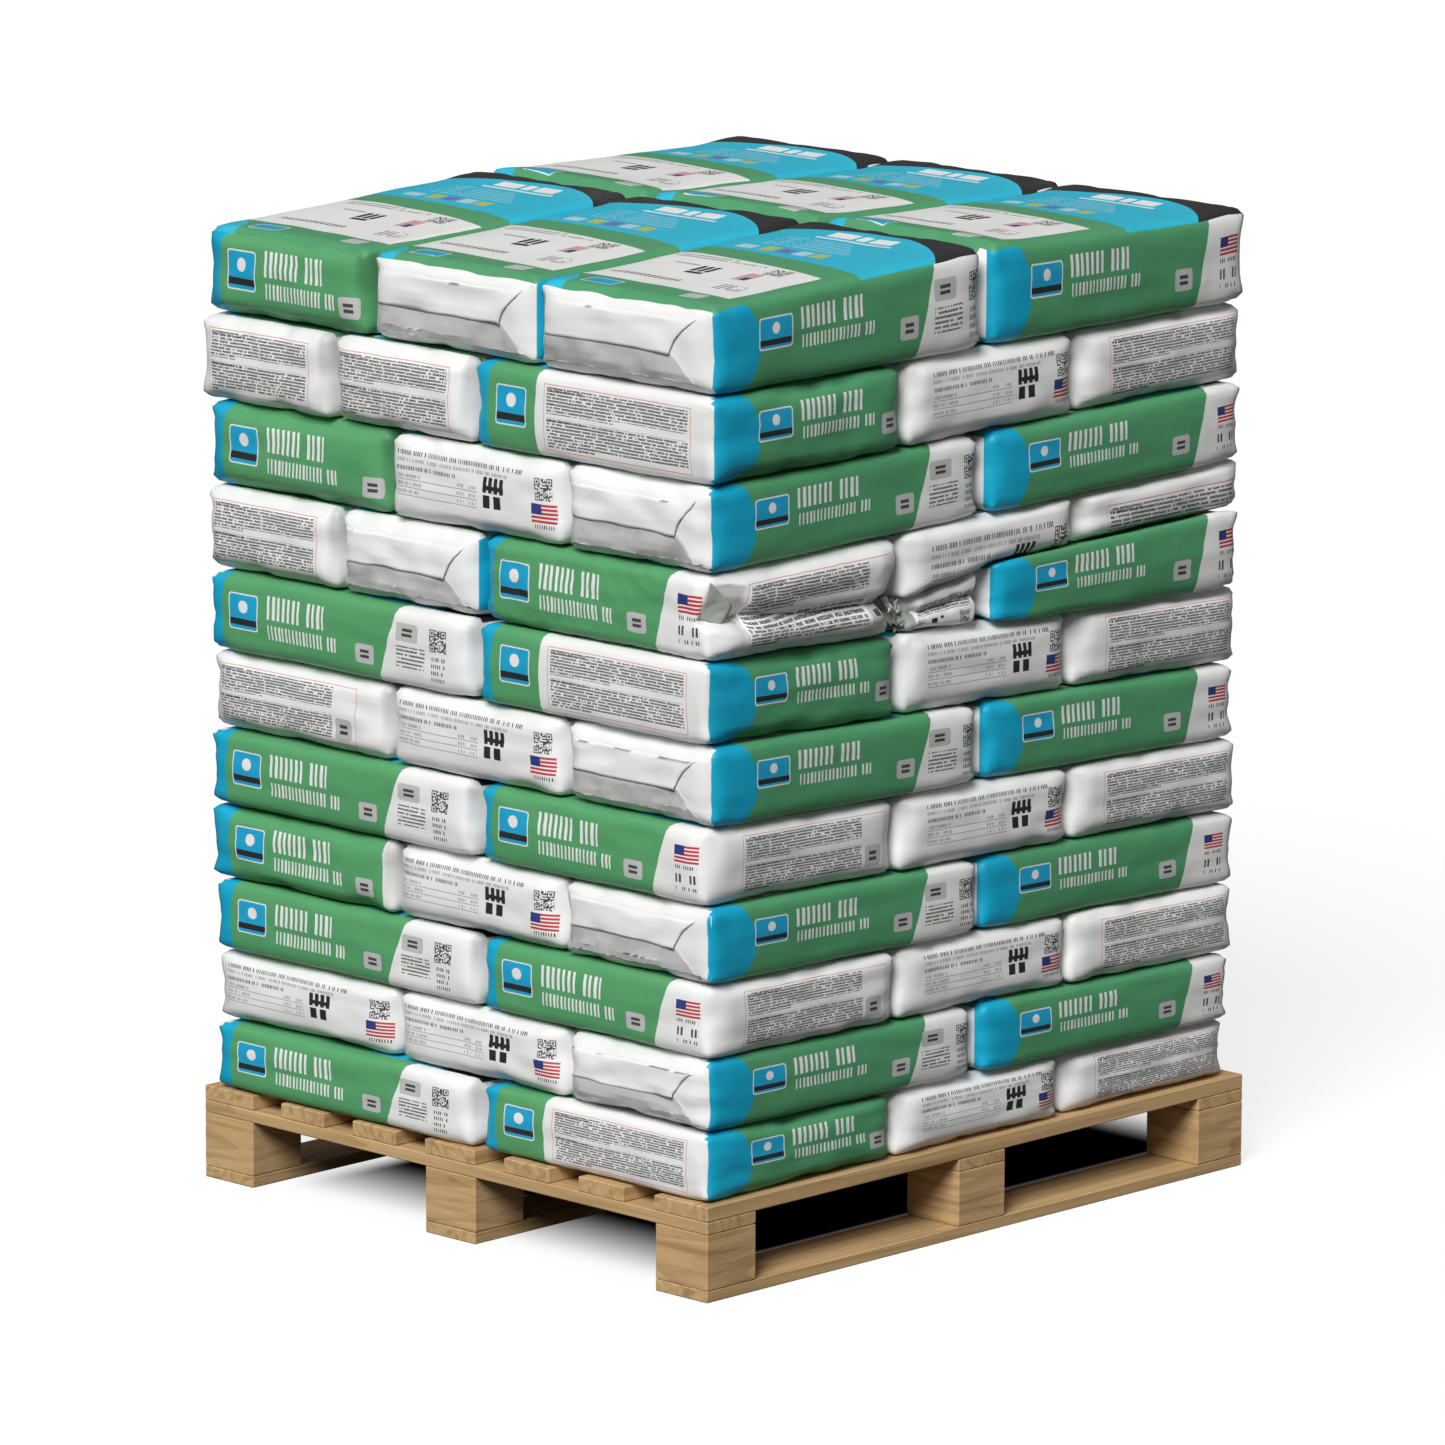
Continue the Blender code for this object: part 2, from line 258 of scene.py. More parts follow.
def bars_group():
    """A row of upright bars of uneven width, with a gap now and then."""
    n, given, results = new_mask("Row of Bars", ("Point",), ("Start", "Pitch", "Seed"))
    along, _, _ = n.parts(given["Point"])
    steps = n.math("DIVIDE", n.math("SUBTRACT", along, given["Start"]), given["Pitch"])
    bar = n.math("ADD", n.math("FLOOR", steps), given["Seed"])
    chance = n.add("ShaderNodeTexWhiteNoise", {"W": bar}, noise_dimensions="1D")
    wide = n.math("LESS_THAN", n.math("FRACT", steps), n.math("MULTIPLY_ADD", chance, 0.30, 0.32))
    present = n.math("GREATER_THAN", chance, 0.14)
    n.feed(results["Mask"], n.math("MULTIPLY", wide, present))
    return n.tree


def code_group():
    """A block of small squares, black or white by chance."""
    n, given, results = new_mask("Code Squares", ("Point",), ("Square",))
    column, row = (n.math("FLOOR", n.math("DIVIDE", part, given["Square"]))
                   for part in n.parts(given["Point"])[:2])
    chance = n.add("ShaderNodeTexWhiteNoise", {"Vector": n.joined(column, row)},
                   noise_dimensions="2D")
    n.feed(results["Mask"], n.math("GREATER_THAN", chance, 0.48))
    return n.tree


def span_group():
    """A band across a face, from a margin at its left edge to a margin at its right edge."""
    n, given, results = new_mask("Ink Span", ("From Left", "From Right"),
                                 ("Left", "Right", "Bottom", "Top"))
    along, up, _ = n.parts(given["From Left"])
    back, _, _ = n.parts(given["From Right"])
    past_left = n.math("SUBTRACT", given["Left"], along)
    past_right = n.math("ADD", back, given["Right"])
    below = n.math("SUBTRACT", given["Bottom"], up)
    above = n.math("SUBTRACT", up, given["Top"])
    outside = n.math("MAXIMUM", n.math("MAXIMUM", past_left, past_right),
                     n.math("MAXIMUM", below, above))
    n.feed(results["Mask"], n.inverse(n.step(outside, 0.0, INK_EDGE)))
    return n.tree


INK_PANEL = panel_group()
INK_SPAN = span_group()
CURVED_EDGE = edge_group()
ROWS_OF_PRINT = print_group()
ROW_OF_BARS = bars_group()
CODE_SQUARES = code_group()
print("ink groups:", [tree.name for tree in bpy.data.node_groups])

# %% [markdown]
# ## Paper
#
# The sacks are of smooth kraft paper with a thin coat of varnish: a soft shine, fine crinkles from
# handling, a little dust of powder. A flat colour would look like plastic. One group works out the
# height of the crinkles and how dirty each place is, and every printed sheet uses it.

# %% Paper relief and dust
def paper_group():
    """Height for a Bump node, a roughness, and a mask of powder and scuffs."""
    n, given, results = new_group("Sack Paper", ("Place",), (), {
        "Height": NUMBER, "Roughness": NUMBER, "Scuffs": NUMBER})
    place = given["Place"]
    folds = n.add("ShaderNodeTexVoronoi", {"Vector": place, "Scale": 26.0}, "Distance")
    soft = n.noise(place, 9.0, 3.0, 0.55)
    fine = n.noise(place, 160.0, 3.0, 0.6)
    height = n.math("MULTIPLY_ADD", folds, 0.35, soft)
    n.feed(results["Height"], n.math("MULTIPLY_ADD", fine, 0.05, height))
    n.feed(results["Roughness"], n.mixed_values(soft, 0.42, 0.58))
    cloud = n.noise(place, 5.0, 4.0, 0.65)
    speck = n.noise(place, 240.0, 2.0, 0.7)
    n.feed(results["Scuffs"], n.math("MULTIPLY", n.step(cloud, 0.52, 0.78),
                                     n.step(speck, 0.35, 0.75)))
    return n.tree


SACK_PAPER = paper_group()

WHITE = (0.79, 0.79, 0.78, 1.0)
# Two copies of one green: this darker one is painted shade for the right side, and serves the tops.
GREEN = (0.078, 0.305, 0.138, 1.0)
# The lighter copy: painted light for the front of the load.
LIT_FRONT_GREEN = (0.092, 0.333, 0.137, 1.0)
BLUE = (0.004, 0.360, 0.560, 1.0)
BLACK = (0.022, 0.022, 0.022, 1.0)
GREY_LABEL = (0.50, 0.51, 0.50, 1.0)
SMALL_TYPE = (0.060, 0.060, 0.060, 1.0)
TABLE_TYPE = (0.26, 0.26, 0.26, 1.0)
RED_LINE = (0.62, 0.17, 0.18, 1.0)
FLAG_RED = (0.52, 0.045, 0.055, 1.0)
FLAG_BLUE = (0.030, 0.045, 0.200, 1.0)
POWDER = (0.60, 0.58, 0.54, 1.0)
BADGE_BLUE = (0.012, 0.350, 0.590, 1.0)
PAPER_EDGE = (0.62, 0.61, 0.58, 1.0)
INNER_PLY = (0.290, 0.315, 0.275, 1.0)
POCKET_PLY = (0.42, 0.45, 0.40, 1.0)
# Painted shade, grey and green, for the paper round an upright edge deep in a joint.
PAINTED_SHADE_GREY = (0.24, 0.24, 0.235, 1.0)
PAINTED_SHADE_GREEN = (0.028, 0.105, 0.043, 1.0)

NOMINAL_HEIGHT = 0.125
AT_RIGHT_EDGE = -1e-6


class Sheet:
    """A printed sheet of sack paper. Ink goes on in layers, each over the ones before it.

    Places are in metres from the lower left corner of the bag's face. What starts at a negative
    number along the face is measured from the lower right corner.
    """

    def __init__(self, name, base=WHITE):
        self.material, self.nodes, self.shader = new_material(name)
        self.left = self.nodes.add("ShaderNodeUVMap", uv_map="from_left")
        self.right = self.nodes.add("ShaderNodeUVMap", uv_map="from_right")
        self.colour = base

    def point(self, place):
        return self.right if place < 0 else self.left

    def ink(self, colour, mask, within=None):
        """Puts ink where the mask is 1, and with a second mask only where that is 1 too."""
        if within is not None:
            mask = self.nodes.math("MULTIPLY", mask, within)
        self.colour = self.nodes.mixed(mask, self.colour, colour)

    def panel(self, left, bottom, width, height, corner=0.0):
        """The mask of a rectangle."""
        return self.nodes.group(INK_PANEL, Point=self.point(left), Corner=corner,
                                Middle=(left + width / 2, bottom + height / 2, 0.0),
                                Half=(width / 2, height / 2, 1.0))

    def before(self, place, lean, bulge):
        """The mask of what lies before a line across the face, which may lean and bulge."""
        return self.nodes.group(CURVED_EDGE, Point=self.point(place), Place=place, Lean=lean,
                                Bulge=bulge)

    def block(self, colour, *place, **more):
        self.ink(colour, self.panel(*place, **more))

    def span(self, left, right, bottom, top):
        """The mask of a band between a margin at the left edge and one at the right edge."""
        return self.nodes.group(INK_SPAN, **{
            "From Left": self.left, "From Right": self.right, "Left": left, "Right": right,
            "Bottom": bottom, "Top": top})

    def span_frame(self, colour, left, right, bottom, top, line):
        inner = self.span(left + line, right + line, bottom + line, top - line)
        self.ink(colour, self.nodes.math("SUBTRACT", self.span(left, right, bottom, top), inner,
                                         clamp=True))

    def span_rows(self, colour, left, right, bottom, top):
        """Small print across the face, between two margins."""
        marks = self.nodes.group(ROWS_OF_PRINT, Point=self.left, Row=0.0046, Word=0.0026,
                                 Height=0.62, Gaps=0.13)
        self.ink(colour, marks, self.span(left, right, bottom, top))

    def rows(self, colour, left, bottom, width, height, row=0.005, word=0.010, bold=0.5,
             gaps=0.12):
        """Small print within a rectangle."""
        marks = self.nodes.group(ROWS_OF_PRINT, Point=self.point(left), Row=row, Word=word,
                                 Height=bold, Gaps=gaps)
        self.ink(colour, marks, self.panel(left, bottom, width, height))

    def code(self, left, bottom, size):
        """A square of code, with the three framed squares in its corners."""
        marks = self.nodes.group(CODE_SQUARES, Point=self.point(left), Square=size / 15)
        self.ink(SMALL_TYPE, marks, self.panel(left, bottom, size, size))
        eye = size * 0.30
        far = size - eye
        for across, up in ((0.0, 0.0), (0.0, far), (far, far)):
            for inset, colour in ((0.0, SMALL_TYPE), (0.17, WHITE), (0.33, SMALL_TYPE)):
                side = eye * (1 - 2 * inset)
                self.block(colour, left + across + inset * eye, bottom + up + inset * eye, side, side)

    def flag(self, left, bottom, width):
        """Red and white stripes with a blue corner."""
        height = width * 0.58
        stripe = height / 9
        self.block(WHITE, left, bottom, width, height)
        for number in range(5):
            self.block(FLAG_RED, left, bottom + 2 * number * stripe, width, stripe)
        self.block(FLAG_BLUE, left, bottom + 4 * stripe, width * 0.42, 5 * stripe)

    def label(self, left, bottom, width, height):
        """A grey box with round corners and two short lines in it."""
        self.block(GREY_LABEL, left, bottom, width, height, corner=height * 0.18)
        for share in (0.28, 0.56):
            self.block(SMALL_TYPE, left + width * 0.27, bottom + height * share, width * 0.46,
                       height * 0.15)

    def emblem(self, left, bottom, width, height):
        """A plain mark: a blue badge with a disc over a black band."""
        rim = 0.0020
        disc = height * 0.34
        self.block(WHITE, left, bottom, width, height, corner=0.005)
        self.block(BADGE_BLUE, left + rim, bottom + rim, width - 2 * rim, height - 2 * rim,
                   corner=0.004)
        self.block(BLACK, left + rim, bottom + height * 0.13, width - 2 * rim, height * 0.17)
        self.block(WHITE, left + (width - disc) / 2, bottom + height * 0.47, disc, disc,
                   corner=disc * 0.49)

    def bars(self, colour, left, bottom, width, height, pitch, seed=0.0):
        """Upright bars side by side, as wide and high as a line of type."""
        marks = self.nodes.group(ROW_OF_BARS, Point=self.point(left), Start=left, Pitch=pitch,
                                 Seed=seed)
        self.ink(colour, marks, self.panel(left, bottom, width, height))

    def paint_joint_shade(self, shade):
        """Painted shade round the right upright edge, deep in a joint, lighter at the foot."""
        along, up, _ = self.nodes.parts(self.right)
        share = self.nodes.mixed_values(self.nodes.step(up, 0.01, 0.10), 0.15, 0.42)
        self.ink(shade, share, self.nodes.step(along, -0.028, -0.014))

    def finish(self, dust=0.10, torn=False):
        """Joins the ink to a shader, with the paper's crinkles, shine and scuffs.

        On a torn sheet the attribute "tear" says where the inner ply shows.
        """
        n = self.nodes
        place = n.add("ShaderNodeTexCoord", output="Object")
        paper = n.group(SACK_PAPER, Place=place).node.outputs
        worn = n.mixed(n.math("MULTIPLY", paper["Scuffs"], dust), self.colour, POWDER)
        if torn:
            tear = n.add("ShaderNodeAttribute", {}, "Fac", attribute_name="tear")
            ragged = n.math("MULTIPLY_ADD", n.noise(place, 90.0, 3.0, 0.6), 0.16, tear)
            worn = n.mixed(n.step(ragged, 0.575, 0.580), worn, PAPER_EDGE)
            worn = n.mixed(n.step(ragged, 0.600, 0.610), worn, INNER_PLY)
        n.surface(self.shader, worn, paper, 0.35, 0.004, 0.35)
        return self.material


print("paper group:", SACK_PAPER.name)

# %% [markdown]
# ## What is printed on a bag
#
# The bags show a dozen kinds of face, with a badge, rows of bars and broken lines on fields of
# colour. Nothing on them can be read, from near or far, so the part fits any load of this kind. Most
# items are placed from the left edge of the face, and those at its far end from the right edge, so
# one sheet fits bags of any width.

# %% Marks that several faces share
def blue_end(sheet, broad):
    """The blue end of a face: a broad round one on the right of the load, a strip on the front."""
    place, lean, bulge = (0.060, 0.96, -7.7) if broad else (0.040, -0.24, 1.9)
    sheet.ink(BLUE, sheet.before(place, lean, bulge))
    if broad:
        along, _, _ = sheet.nodes.parts(sheet.left)
        sheet.ink(WHITE, sheet.nodes.math("LESS_THAN", along, 0.0))


def white_end(sheet, place, lean, bulge):
    """The white end of a long face, past a leaning curve."""
    sheet.ink(WHITE, sheet.nodes.inverse(sheet.before(place, lean, bulge)))


def green_face(name, broad):
    """A green sheet with its blue end, a badge, and a tall and a low row of bars."""
    # The front takes the lighter copy of the green as painted light, the right side the darker as
    # painted shade.
    sheet = Sheet(name, GREEN if broad else LIT_FRONT_GREEN)
    blue_end(sheet, broad)
    if broad:
        sheet.emblem(0.087, 0.0535, 0.069, 0.0435)
        sheet.bars(WHITE, 0.174, 0.0730, 0.133, 0.0285, 0.0112, 5.0)
        sheet.bars(WHITE, 0.177, 0.0480, 0.160, 0.0165, 0.0077, 40.0)
    else:
        sheet.emblem(0.049, 0.0400, 0.062, 0.0560)
        sheet.bars(WHITE, 0.131, 0.0640, 0.122, 0.0360, 0.0108, 5.0)
        sheet.bars(WHITE, 0.133, 0.0330, 0.155, 0.0215, 0.0076, 40.0)
    return sheet


def small_print(sheet, left, right, marked=False):
    """A thin red frame with two paragraphs of small print, between margins at both ends."""
    low, high = 0.014, 0.107
    inset = 0.006
    sheet.span_frame(RED_LINE, left, right, low, high, 0.0010)
    text_right = right + (0.052 if marked else inset)
    for bottom, top, last in ((0.017, 0.060, 0.190), (0.066, 0.103, 0.150)):
        sheet.span_rows(SMALL_TYPE, left + inset, text_right, bottom, top)
        sheet.block(WHITE, -text_right - last, bottom - 0.001, last, 0.0052)
        sheet.bars(BLACK, left + inset, top - 0.0050, 0.070, 0.0034, 0.0026)
    if marked:
        width = 0.034
        sheet.label(-right - width - 0.010, low + 0.008, width, 0.034)


print("marks:", [mark.__name__ for mark in (blue_end, white_end, green_face, small_print)])

# %% [markdown]
# ## The faces
#
# Each function below prints one face. The long faces are mostly green, with a blue end, a badge, a
# title and a white end that carries a code or a flag. On some the small print takes the place of the
# title. The numbers differ between the front and the right of the load, as they do in the picture.

# %% Long faces and title faces
def long_code(name, broad):
    sheet = green_face(name, broad)
    label, low, border, start, code = ((0.382, 0.031, 0.419, -0.122, -0.047) if broad
                                       else (0.323, 0.026, 0.371, -0.165, -0.093))
    sheet.label(label, low, 0.038, 0.029)
    white_end(sheet, border, 0.28, 0.4)
    sheet.label(start, 0.072, 0.046, 0.027)
    sheet.rows(SMALL_TYPE, start, 0.032, 0.060, 0.032, row=0.0062, word=0.0030)
    sheet.code(code, 0.064, 0.034)
    for number in range(4):
        sheet.bars(SMALL_TYPE, code + 0.003, 0.050 - 0.0105 * number, 0.028, 0.0055, 0.0042,
                   7.0 * number)
    # Painted shade round the right edge of a front face.
    if not broad:
        sheet.paint_joint_shade(PAINTED_SHADE_GREY)
    return sheet.finish()


def long_flag(name, broad, torn=False):
    sheet = green_face(name, broad)
    low, border, flag, width = ((0.031, -0.115, -0.062, 0.041) if broad
                                else (0.026, -0.109, -0.060, 0.046))
    sheet.label(-0.164, low, 0.038, 0.029)
    white_end(sheet, border, 0.20, 0.5)
    sheet.flag(flag, 0.068, width)
    for bottom, height, pitch in ((0.058, 0.0050, 0.0042), (0.036, 0.0130, 0.0070),
                                  (0.024, 0.0050, 0.0042)):
        sheet.bars(SMALL_TYPE, flag + 0.001, bottom, width - 0.004, height, pitch, 900 * bottom)
    return sheet.finish(torn=torn)


def long_small(name):
    sheet = Sheet(name, LIT_FRONT_GREEN)
    blue_end(sheet, False)
    sheet.emblem(0.052, 0.040, 0.062, 0.056)
    white_end(sheet, 0.136, -0.10, 0.9)
    small_print(sheet, 0.152, 0.038)
    return sheet.finish()


def title_face(name, broad, folded=False):
    """A green face. With folded, its end turns the white paper of the fold to the viewer."""
    sheet = green_face(name, broad)
    label = -0.052 if broad else -0.076 if folded else -0.055
    sheet.label(label, 0.031 if broad else 0.024, 0.036, 0.030)
    if folded:
        sheet.block(WHITE, -0.022, -0.05, 0.10, 0.30)
    # Painted shade round the right edge of a front face.
    if not broad:
        sheet.paint_joint_shade(PAINTED_SHADE_GREY if folded else PAINTED_SHADE_GREEN)
    return sheet.finish()


print("long faces:", [face.__name__ for face in (long_code, long_flag, long_small, title_face)])

# %% [markdown]
# ## The short faces
#
# The short faces are white and differ from bag to bag, because the bags were laid with either end
# outwards. Some carry small print in a red frame, others a table, a code and a flag. The paper under
# the flaps of a folded end is bare, and so are the sides that face into the load.

# %% Short white faces
def small_face(name, left, right, marked=False, torn=False):
    sheet = Sheet(name)
    small_print(sheet, left, right, marked)
    # Painted shade round the right edge of a front face.
    if left < right:
        sheet.paint_joint_shade(PAINTED_SHADE_GREY)
    return sheet.finish(torn=torn)


def info_face(name, left):
    """A heading, a table of a few rows, a block of bars, a code and a flag."""
    sheet = Sheet(name)
    sheet.bars(BLACK, left, 0.0985, 0.262, 0.0060, 0.0036, 3.0)
    sheet.bars(TABLE_TYPE, left, 0.0885, 0.232, 0.0046, 0.0028, 90.0)
    sheet.bars(BLACK, left, 0.0765, 0.125, 0.0052, 0.0034, 200.0)
    for number in range(3):
        height = 0.0655 - 0.0115 * number
        sheet.bars(TABLE_TYPE, left, height, 0.048 + 0.006 * (number % 2), 0.0044, 0.0028,
                   300.0 + 30 * number)
        for column in (0.128, 0.154):
            sheet.bars(TABLE_TYPE, left + column, height, 0.014, 0.0042, 0.0034, 50 * number)
        sheet.block(TABLE_TYPE, left, height - 0.0034, 0.170, 0.0005)
    marks = [(0.183 + 0.0115 * number, 0.064, 0.0070, 0.022) for number in range(4)]
    marks += [(0.183, 0.068, 0.042, 0.006), (0.184, 0.042, 0.013, 0.018),
              (0.205, 0.042, 0.013, 0.018)]
    for across, bottom, width, height in marks:
        sheet.block(BLACK, left + across, bottom, width, height)
    sheet.code(-0.053, 0.066, 0.032)
    sheet.flag(-0.060, 0.034, 0.046)
    sheet.bars(BLACK, -0.058, 0.025, 0.042, 0.0052, 0.0042, 20.0)
    return sheet.finish()


def burst_face(name):
    """What is left of the print on the burst bag: a few rows, two marks and a code."""
    sheet = Sheet(name)
    sheet.rows(SMALL_TYPE, -0.150, 0.018, 0.026, 0.026, row=0.0085, word=0.004)
    sheet.block(BLACK, -0.108, 0.022, 0.011, 0.016, corner=0.003)
    sheet.block(BLACK, -0.090, 0.034, 0.006, 0.008, corner=0.002)
    sheet.code(-0.048, 0.014, 0.028)
    sheet.rows(SMALL_TYPE, -0.140, 0.052, 0.124, 0.040, row=0.0050, word=0.0026, bold=0.62)
    return sheet.finish(0.3, torn=True)


def folded_face(name):
    """Bare paper under the flaps of a folded end, with the blue of the next face at its right."""
    sheet = Sheet(name)
    sheet.block(BLUE, AT_RIGHT_EDGE, -0.05, 0.10, 0.30)
    return sheet.finish()


print("short faces:", [face.__name__ for face in (small_face, info_face, burst_face, folded_face)])


# %% [markdown]
# ## The top of a bag
#
# The tops carry the widest picture: a green strip at the near end, a white field that runs out to a
# point at the right, a green wave, a blue field with a title and small squares, and a black band with
# a curve at the far end. Only the top course shows it whole. Under it, slivers of it show wherever a
# bag stands a little proud of the one above, so every bag has it.

# %% Top of a bag
TOP_BLUE = (0.024, 0.450, 0.620, 1.0)
TOP_YELLOW = (0.45, 0.47, 0.10, 1.0)
TOP_VIOLET = (0.16, 0.16, 0.42, 1.0)
TOP_PALE = (0.42, 0.60, 0.66, 1.0)
TOP_WIDTH = 0.351


def top_fields(sheet):
    """The fields of colour. Along is the way from the near end, across is that from the left."""
    n = sheet.nodes
    along, across, _ = n.parts(sheet.left)
    share = n.math("DIVIDE", across, TOP_WIDTH)
    squared = n.math("MULTIPLY", share, share)
    near, far, blue_from = (n.math("MULTIPLY_ADD", squared, bend, place) for bend, place in (
        (-0.020, 0.078), (-0.036, 0.284), (-0.030, 0.336)))
    white = n.math("SUBTRACT", n.past(along, near), n.past(along, far), clamp=True)
    sheet.ink(WHITE, white, n.inverse(n.step(across, 0.330, 0.331)))
    sheet.ink(TOP_BLUE, n.past(along, blue_from))
    corner = n.math("MULTIPLY_ADD", across, -1.1, 0.090)
    before_corner = n.inverse(n.step(n.math("SUBTRACT", along, corner), 0, 0.001))
    sheet.ink(TOP_BLUE, before_corner, n.inverse(n.step(across, 0.046, 0.047)))
    black_from = n.math("MULTIPLY_ADD", share, 0.085, 0.490)
    black_from = n.math("MULTIPLY_ADD", n.math("MULTIPLY", squared, squared), -0.105, black_from)
    sheet.ink(BLACK, n.past(along, black_from))


def top_face(name):
    sheet = Sheet(name, GREEN)
    top_fields(sheet)
    sheet.block(WHITE, 0.030, 0.058, 0.032, 0.062, corner=0.004)
    sheet.block(BADGE_BLUE, 0.032, 0.060, 0.028, 0.058, corner=0.003)
    sheet.block(GREY_LABEL, 0.030, 0.256, 0.028, 0.040, corner=0.004)
    for number in range(2):
        sheet.rows(SMALL_TYPE, 0.256 + 0.011 * number, 0.030, 0.0055, 0.190 - 0.070 * number,
                   row=0.0040, word=0.1, bold=0.7)
    sheet.rows(BLACK, 0.112, 0.036, 0.013, 0.140, row=0.0105, word=0.1, bold=0.62, gaps=0.1)
    sheet.rows(SMALL_TYPE, 0.214, 0.070, 0.006, 0.050, row=0.0040, word=0.1, bold=0.7)
    for number in range(3):
        sheet.block(BLACK, 0.184, 0.128 + 0.014 * number, 0.034, 0.0090)
    sheet.block(BLACK, 0.170, 0.130, 0.010, 0.034)
    sheet.flag(0.172, 0.226, 0.044)
    sheet.code(0.220, 0.240, 0.036)
    sheet.rows(SMALL_TYPE, 0.104, 0.250, 0.034, 0.052, row=0.010, word=0.010, bold=0.45)
    for number, colour in enumerate((TOP_YELLOW, TOP_VIOLET, TOP_PALE, TOP_YELLOW)):
        sheet.block(colour, 0.352, 0.104 + 0.034 * number, 0.026, 0.026, corner=0.002)
    sheet.block(TOP_PALE, 0.352, 0.056, 0.022, 0.034, corner=0.003)
    for number in range(5):
        sheet.rows(TOP_PALE, 0.392 + 0.014 * number, 0.075, 0.0050, 0.175 - 0.012 * number,
                   row=0.0050, word=0.1, bold=0.7)
    for start, size in ((0.120, 0.050), (0.178, 0.018), (0.204, 0.044)):
        sheet.block(WHITE, 0.482, start, 0.026, size, corner=0.003)
    sheet.block(WHITE, 0.468, 0.110, 0.006, 0.150)
    return sheet.finish(dust=0.12)


SHEETS = {
    "title_strip": title_face("title_face", False),
    "title_folded": title_face("title_face_folded", False, folded=True),
    "title_end": title_face("title_face_broad", True),
    "long_code_strip": long_code("long_face_code", False),
    "long_code_end": long_code("long_face_code_broad", True),
    "long_flag_strip": long_flag("long_face_flag", False),
    "long_flag_end": long_flag("long_face_flag_broad", True),
    "long_small_strip": long_small("long_face_small_print"),
    "small_strip": small_face("small_print_face", 0.010, 0.042),
    "small_end": small_face("small_print_face_right", 0.070, 0.012),
    "small_marked_strip": small_face("small_print_marked", 0.018, 0.070, True),
    "small_marked_end": small_face("small_print_marked_right", 0.066, 0.026, True),
    "info_strip": info_face("info_face", 0.020),
    "info_end": info_face("info_face_right", 0.060),
    "long_flag_torn": long_flag("long_face_flag_torn", False, torn=True),
    "small_marked_torn": small_face("small_print_torn", 0.066, 0.026, True, torn=True),
    "fold": folded_face("folded_end"),
    "burst": burst_face("burst_bag_face"),
    "plain": Sheet("plain_paper").finish(),
    "top": top_face("bag_top"),
}
print(len(SHEETS), "printed sheets")
for label, sheet_material in SHEETS.items():
    print(" ", label, len(sheet_material.node_tree.nodes), "nodes")

# %% [markdown]
# ## A sack blank
#
# A bag starts as a box with a square mesh on each side, about a centimetre between its lines. A cube
# is made and its edges are cut along each axis in turn, with the faces filled in as a grid. Every
# point then has a place on the paper, from -1 to 1 on each axis, and that place never changes.

# %% Sack blank
SACK = np.array((0.572, 0.351, 0.124))
GRID_STEP = 0.011

def mesh_from(bm, name):
    mesh = bpy.data.meshes.new(name)
    bm.to_mesh(mesh)
    bm.free()
    return mesh


def piece_of(mesh, *materials):
    """An object for a mesh, with its name and these materials."""
    for material in materials:
        mesh.materials.append(material)
    mesh.shade_smooth()
    return link(bpy.data.objects.new(mesh.name, mesh))


def long_edges(bm, axis):
    return [e for e in bm.edges if abs((e.verts[0].co - e.verts[1].co)[axis]) > 0.9]


def blank_mesh():
    """A unit cube whose sides are cut into squares for a sack of that size."""
    bm = bmesh.new()
    bmesh.ops.create_cube(bm, size=1.0)
    for axis in range(3):
        cuts = round(SACK[axis] / GRID_STEP) - 1
        bmesh.ops.subdivide_edges(bm, edges=long_edges(bm, axis), cuts=cuts, use_grid_fill=True)
    return mesh_from(bm, "sack_blank")


def points_of(mesh):
    flat = np.empty(len(mesh.vertices) * 3)
    mesh.vertices.foreach_get("co", flat)
    return flat.reshape(-1, 3)


def with_points(mesh, points):
    mesh.vertices.foreach_set("co", np.ascontiguousarray(points, dtype=float).ravel())
    mesh.update()
    return mesh


BLANK = blank_mesh()
GRID = points_of(BLANK) * 2
print("sack blank:", len(BLANK.vertices), "vertices,", len(BLANK.polygons), "squares")

# %% [markdown]
# ## The shape of a full bag
#
# These sacks are a paper tube with folded ends. So the long edges are soft and round, the short ones
# and the upright ones are crisp folds, and every side swells a little between its edges. The ends
# are a little lower than the middle, and the upright edges are pinched in halfway up. All that is
# regular, so it is worked out with a few formulas.

# %% A regular bag
CRISP_EDGES = np.array((0.006, 0.010, 0.016))
SOFT_EDGES = np.array((0.007, 0.012, 0.016))
SWELL = np.array((0.004, 0.004, 0.003))
END_DROP = 0.070
PINCH = 0.004


def smooth_rise(value, start, end):
    share = np.clip((value - start) / (end - start), 0.0, 1.0)
    return share * share * (3 - 2 * share)


def regular_bag(grid, radii):
    """A bag in metres about its middle: elliptic edges, swollen sides and lower ends.

    Every upright edge is pinched in a little between its two corners.
    """
    half = SACK / 2 - SWELL
    boxed = grid * half
    inner = np.clip(boxed, -(half - radii), half - radii)
    outward = (boxed - inner) / radii
    length = np.maximum(np.linalg.norm(outward, axis=1, keepdims=True), 1e-9)
    points = inner + radii * outward / np.maximum(length, 1.0)
    points = np.where(length > 1.0, points, boxed)
    x, y, z = np.abs(grid).T
    fall = np.stack(((1 - y ** 4) * (1 - z ** 2) * x ** 3, (1 - x ** 6) * (1 - z ** 2) * y ** 3,
                     (1 - x ** 4) * (1 - y ** 4) * z ** 3), axis=1)
    points = points + np.sign(grid) * fall * SWELL
    points[:, 2] *= 1 - END_DROP * smooth_rise(x, 0.78, 1.0)
    pinched = PINCH * (1 - z ** 2) * smooth_rise(x, 0.90, 1.0) * smooth_rise(y, 0.84, 1.0)
    return points - np.sign(grid) * (1.0, 1.0, 0.0) * pinched[:, None]


CRISP_BAG = regular_bag(GRID, CRISP_EDGES)
SOFT_BAG = regular_bag(GRID, SOFT_EDGES)
print("regular bag:", np.round(np.ptp(CRISP_BAG, axis=0), 3), "m")

